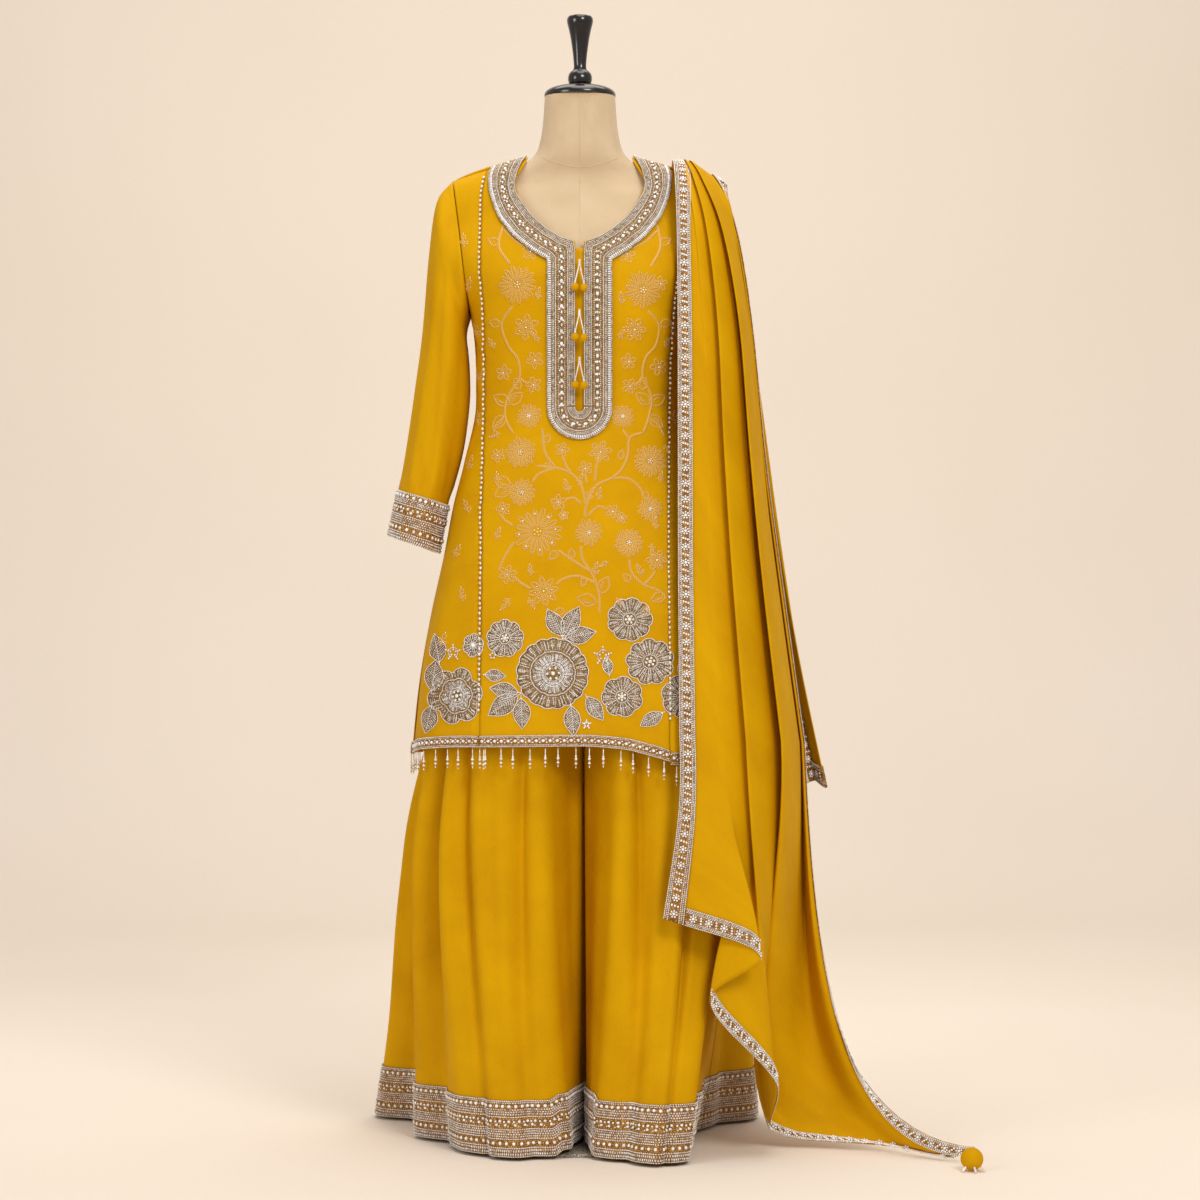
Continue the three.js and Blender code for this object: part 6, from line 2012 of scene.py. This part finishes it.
class SUIT_OT_trousers(bpy.types.Operator):
    """Sews the wide trouser legs and their deep beaded hems"""

    bl_idname = "suit.trousers"
    bl_label = "Trousers"

    def execute(self, context):
        thick = sizes()["cloth"]
        last = len(LEG_ROWS) + 1
        rows = np.concatenate([np.linspace(0, 3, 5)[:-1], np.linspace(3, 7, 14)[:-1],
                               np.linspace(7, last - 1, 28)[:-1], np.linspace(last - 1, last, 6)])
        for name, side in (("right", -1), ("left", 1)):
            def point(at, row, side=side):
                return leg_point(side, at, row)

            for face, start in (("front", 0), ("back", SIDE_STATION)):
                us = np.linspace(start + 0.012, start + SIDE_STATION - 0.012, 125)
                shape = Shape()
                add_wall(shape, us, rows, point, -side, thick)
                cloth = settle(shape.build(f"leg_{name}_{face}", [finish_of("crepe")]),
                               "mustard_crepe", f"trouser_{name}_{face}")
                shape = Shape()
                add_tape(shape, us, np.linspace(last - 1, last, 7), point, -side)

                def hem(at, across, side=side):
                    return leg_point(side, at, last - 1 + across)

                band = Strip(hem, us[0], us[-1], LEG_BAND, -side, tape_top())
                wide_beadwork(shape, band, LEG_BAND)
                settle(shape.build(f"leg_beadwork_{name}_{face}", bead_finishes()),
                       "beadwork", f"trouser_band_{name}_{face}")
        return {"FINISHED"}


class SUIT_OT_waistband(bpy.types.Operator):
    """Sews the trouser waistband"""

    bl_idname = "suit.waistband"
    bl_label = "Waistband"

    def execute(self, context):
        def waist(turn, z):
            side = boxiness(turn)
            depth = np.where(np.cos(turn) > 0, column(TROUSERS, "z", "front", z), column(TROUSERS, "z", "back", z))
            ruche = 1 + 0.006 * np.sin(turn * 60)
            return point_of(column(TROUSERS, "z", "half", z) * np.sin(turn) * side * ruche,
                            -depth * np.cos(turn) * side * ruche, z)

        shape = Shape()
        add_wall(shape, np.linspace(0, 2 * np.pi, 361), np.linspace(986, 1010, 5), waist, 1, 2.0, wrap=True)
        band = settle(shape.build("waistband", [finish_of("crepe")]), "mustard_crepe", "trouser_waistband")
        return {"FINISHED"}


# ---- dupatta --------------------------------------------------------------------------------
DUPATTA_ROWS = np.concatenate([
    np.linspace(0, END_ROW, 4)[:-1], np.linspace(END_ROW, 1, 24)[:-1], np.linspace(1, 5, 25)[:-1],
    np.linspace(5, 9, 33)[:-1], np.linspace(9, BACK_ROW, 25),
])
BACK_END = BACK_ROW - 0.16


def border_beadwork(shape, band, ends=0.0):
    """The dupatta's border: stone rosettes and squares between cords of beads."""
    repeat = sizes()["rosette"]
    for across in (1.2, 23.8):
        band.row(shape, across, 3.0, (1.5, 1.0, 0.95), PEARLS, up=0.45)
    for across in (3.6, 21.4):
        band.row(shape, across, 3.0, (1.4, 1.1, 0.85), SILVER, up=0.4, shift=0.5)
    for across in (5.8, 19.2):
        band.row(shape, across, 3.0, (1.4, 0.8, 0.9), CRYSTAL, up=0.45)
    band.rosettes(shape, 12.5, repeat, 4.1, 7, (1.8, 1.45, 1.2), CRYSTAL, 2.5)
    for across in (8.8, 12.5, 16.2):
        band.row(shape, across, repeat, (2.0, 1.7, 1.3), CRYSTAL, STONE, 0.7, 0.5)
    for across in (8.2, 16.8):
        band.row(shape, across, repeat, (0.9, 0.9, 0.8), GOLD, SEED, 0.5, 0.34)
        band.row(shape, across, repeat, (0.9, 0.9, 0.8), GOLD, SEED, 0.5, 0.66)


class SUIT_OT_dupatta(bpy.types.Operator):
    """Drapes the dupatta over the left shoulder and beads its borders"""

    bl_idname = "suit.dupatta"
    bl_label = "Dupatta"

    def execute(self, context):
        edges = np.linspace(0, EDGE_U, 4)
        across = np.concatenate([edges[:-1], np.linspace(EDGE_U, 1 - EDGE_U, 160)[:-1], 1 - edges[::-1]])
        shape = Shape()
        add_wall(shape, across, DUPATTA_ROWS, dupatta_point, 1, sizes()["cloth"] * 0.9)
        cloth = settle(shape.build("dupatta_cloth", [finish_of("crepe")]), "mustard_crepe", "dupatta")

        def inner(at, share):
            return dupatta_point(share * EDGE_U, at)

        def outer(at, share):
            return dupatta_point(1 - EDGE_U + share * EDGE_U, at)

        for name, point in (("inner", inner), ("outer", outer)):
            shape = Shape()
            add_tape(shape, DUPATTA_ROWS, np.linspace(0, 1, 4), point, -1)
            border_beadwork(shape, Strip(point, 0, BACK_ROW, BORDER, -1, tape_top()))
            settle(shape.build(f"dupatta_beadwork_{name}", bead_finishes()), "beadwork", f"dupatta_border_{name}")
        us = np.linspace(EDGE_U + 0.0008, 1 - EDGE_U - 0.0008, 175)
        for name, low, high in (("front_end", 0, END_ROW), ("back_end", BACK_END, BACK_ROW)):
            def end(u, share, low=low, high=high):
                return dupatta_point(u, mix(low, high, share))

            shape = Shape()
            add_tape(shape, us, np.linspace(0, 1, 4), end, 1)
            border_beadwork(shape, Strip(end, us[0], us[-1], BORDER, 1, tape_top()))
            settle(shape.build(f"dupatta_beadwork_{name}", bead_finishes()), "beadwork", f"dupatta_border_{name}")
        return {"FINISHED"}


# ---- tassels --------------------------------------------------------------------------------
def add_ball(shape, centre, radius, finish, sides=20, rings=12):
    """A cloth-covered ball, slightly gathered towards its top."""
    centre = np.array(centre, float)
    u, v = np.meshgrid(np.linspace(0, 2 * np.pi, sides + 1), np.linspace(-np.pi / 2, np.pi / 2, rings + 1), indexing="ij")
    gather = 1 + 0.02 * np.sin(u * 9) * smooth((v - 0.3) / 1.0)
    r = radius * gather
    p = centre + point_of(r * np.cos(v) * np.cos(u), r * np.cos(v) * np.sin(u), r * np.sin(v) * 0.97)
    p[:, 0], p[:, -1] = p[:1, 0], p[:1, -1]
    rows = rings + 1
    i, j = [g.ravel() for g in np.meshgrid(np.arange(sides), np.arange(rings), indexing="ij")]
    ci, cj = np.stack([i, i + 1, i + 1, i], -1), np.stack([j, j, j + 1, j + 1], -1)
    number = (ci % sides) * rows + cj
    number = np.where(cj == 0, 0, np.where(cj == rings, rings, number))
    places = np.stack([u * radius, v * radius], -1) * MM
    middle = (j > 0) & (j < rings - 1)
    points = p[:sides].reshape(-1, 3)
    shape.add(points, number[middle], finish, places[ci, cj][middle])
    low, high = number[j == 0][:, [0, 2, 3]], number[j == rings - 1][:, [0, 1, 2]]
    start = shape.count - len(points)
    shape.faces += [low + start, high + start]
    shape.flats += [places[ci, cj][j == 0][:, [0, 2, 3]], places[ci, cj][j == rings - 1][:, [0, 1, 2]]]
    shape.finishes += [np.full(len(low), finish), np.full(len(high), finish)]


def bead_string(shape, start, end, pitch, size, finish, solid=PEARL):
    """A straight row of beads between two places in space."""
    start, end = np.array(start, float), np.array(end, float)
    length = np.linalg.norm(end - start)
    count = max(int(round(length / pitch)), 1)
    centres = start + (end - start) * ((np.arange(count) + 0.5) / count)[:, None]
    up = np.broadcast_to((end - start) / length, centres.shape)
    run = unit(np.cross(up, [0.3, 1.0, 0.2]))
    place(shape, solid, centres, run, np.cross(up, run), up, size, finish)


class SUIT_OT_tassels(bpy.types.Operator):
    """Hangs the ball tassels at the slit and at the dupatta's corner"""

    bl_idname = "suit.tassels"
    bl_label = "Ball tassels"

    def execute(self, context):
        finishes = bead_finishes() + [finish_of("crepe")]
        for k, top in enumerate((1235, 1166, 1101)):
            y = float(front_point(0, top)[1]) - 11
            low = top - 36
            low_y = min(y, float(front_point(0, low)[1]) - 11)
            shape = Shape()
            for x, z in ((-6, low), (6, low - 1)):
                add_ball(shape, (x, low_y, z), 5.6, 5)
                bead_string(shape, (x, low_y, z + 5.0), (x, low_y, z + 8.0), 1.5, (2.0, 2.0, 0.9), PEARLS)
                bead_string(shape, (x * 0.95, low_y, z + 8), (x * 0.1, y, top - 5), 2.4, (1.15, 1.15, 1.35), PEARLS)
            bead_string(shape, (0, y, top - 6), (0, y + 1, top + 2.6), 3.2, (2.2, 2.2, 1.7), PEARLS)
            settle(shape.build(f"ball_tassel_{k + 1}", finishes), "tassel_cloth", f"slit_tassel_{k + 1}")
        shape = Shape()
        centre, top = np.array([528, -246, 16.2]), np.array([541, -203, 20])
        add_ball(shape, centre, 15.4, 5, 28, 18)
        way = (top - centre) / np.linalg.norm(top - centre)
        bead_string(shape, centre + way * 15, centre + way * 21, 3.0, (5.5, 5.5, 1.7), CRYSTAL, STONE)
        bead_string(shape, centre + way * 20, top, 4.0, (2.3, 2.3, 2.2), PEARLS)
        for x, y in ((-10, -11), (2, -15), (12, -9)):
            start = centre + np.array([x * 0.9, y * 0.85, -9.0])
            bead_string(shape, start, start + np.array([x * 0.5, y * 0.55, -4.6]), 3.4, (1.7, 1.7, 1.9), PEARLS)
        settle(shape.build("ball_tassel_corner", finishes), "tassel_cloth", "corner_tassel")
        return {"FINISHED"}


# ---- panel and order ---------------------------------------------------------------------------
STEPS = (
    SUIT_OT_stage, SUIT_OT_dress_form, SUIT_OT_neck_cap, SUIT_OT_kameez, SUIT_OT_sleeves, SUIT_OT_waistband,
    SUIT_OT_trousers, SUIT_OT_dupatta, SUIT_OT_neckline, SUIT_OT_hem_band, SUIT_OT_piping, SUIT_OT_drops,
    SUIT_OT_thread_work, SUIT_OT_hem_flowers, SUIT_OT_tassels,
)


class SUIT_PT_panel(bpy.types.Panel):
    """The suit's colours, sizes and steps"""

    bl_idname = "SUIT_PT_panel"
    bl_label = "Salwar kameez suit"
    bl_space_type = "VIEW_3D"
    bl_region_type = "UI"
    bl_category = "Suit"

    def draw(self, context):
        for group in (context.scene.suit_colours, context.scene.suit_sizes):
            box = self.layout.box()
            for name in group.__annotations__:
                box.prop(group, name)
        for step in STEPS:
            self.layout.operator(step.bl_idname)


CLASSES = (SuitColours, SuitSizes, *STEPS, SUIT_PT_panel)


def register():
    for made in CLASSES:
        bpy.utils.register_class(made)
    bpy.types.Scene.suit_colours = bpy.props.PointerProperty(type=SuitColours)
    bpy.types.Scene.suit_sizes = bpy.props.PointerProperty(type=SuitSizes)


def unregister():
    del bpy.types.Scene.suit_sizes
    del bpy.types.Scene.suit_colours
    for made in reversed(CLASSES):
        bpy.utils.unregister_class(made)


def main():
    register()
    for step in STEPS:
        group, name = step.bl_idname.split(".")
        getattr(getattr(bpy.ops, group), name)()


if __name__ == "__main__":
    main()
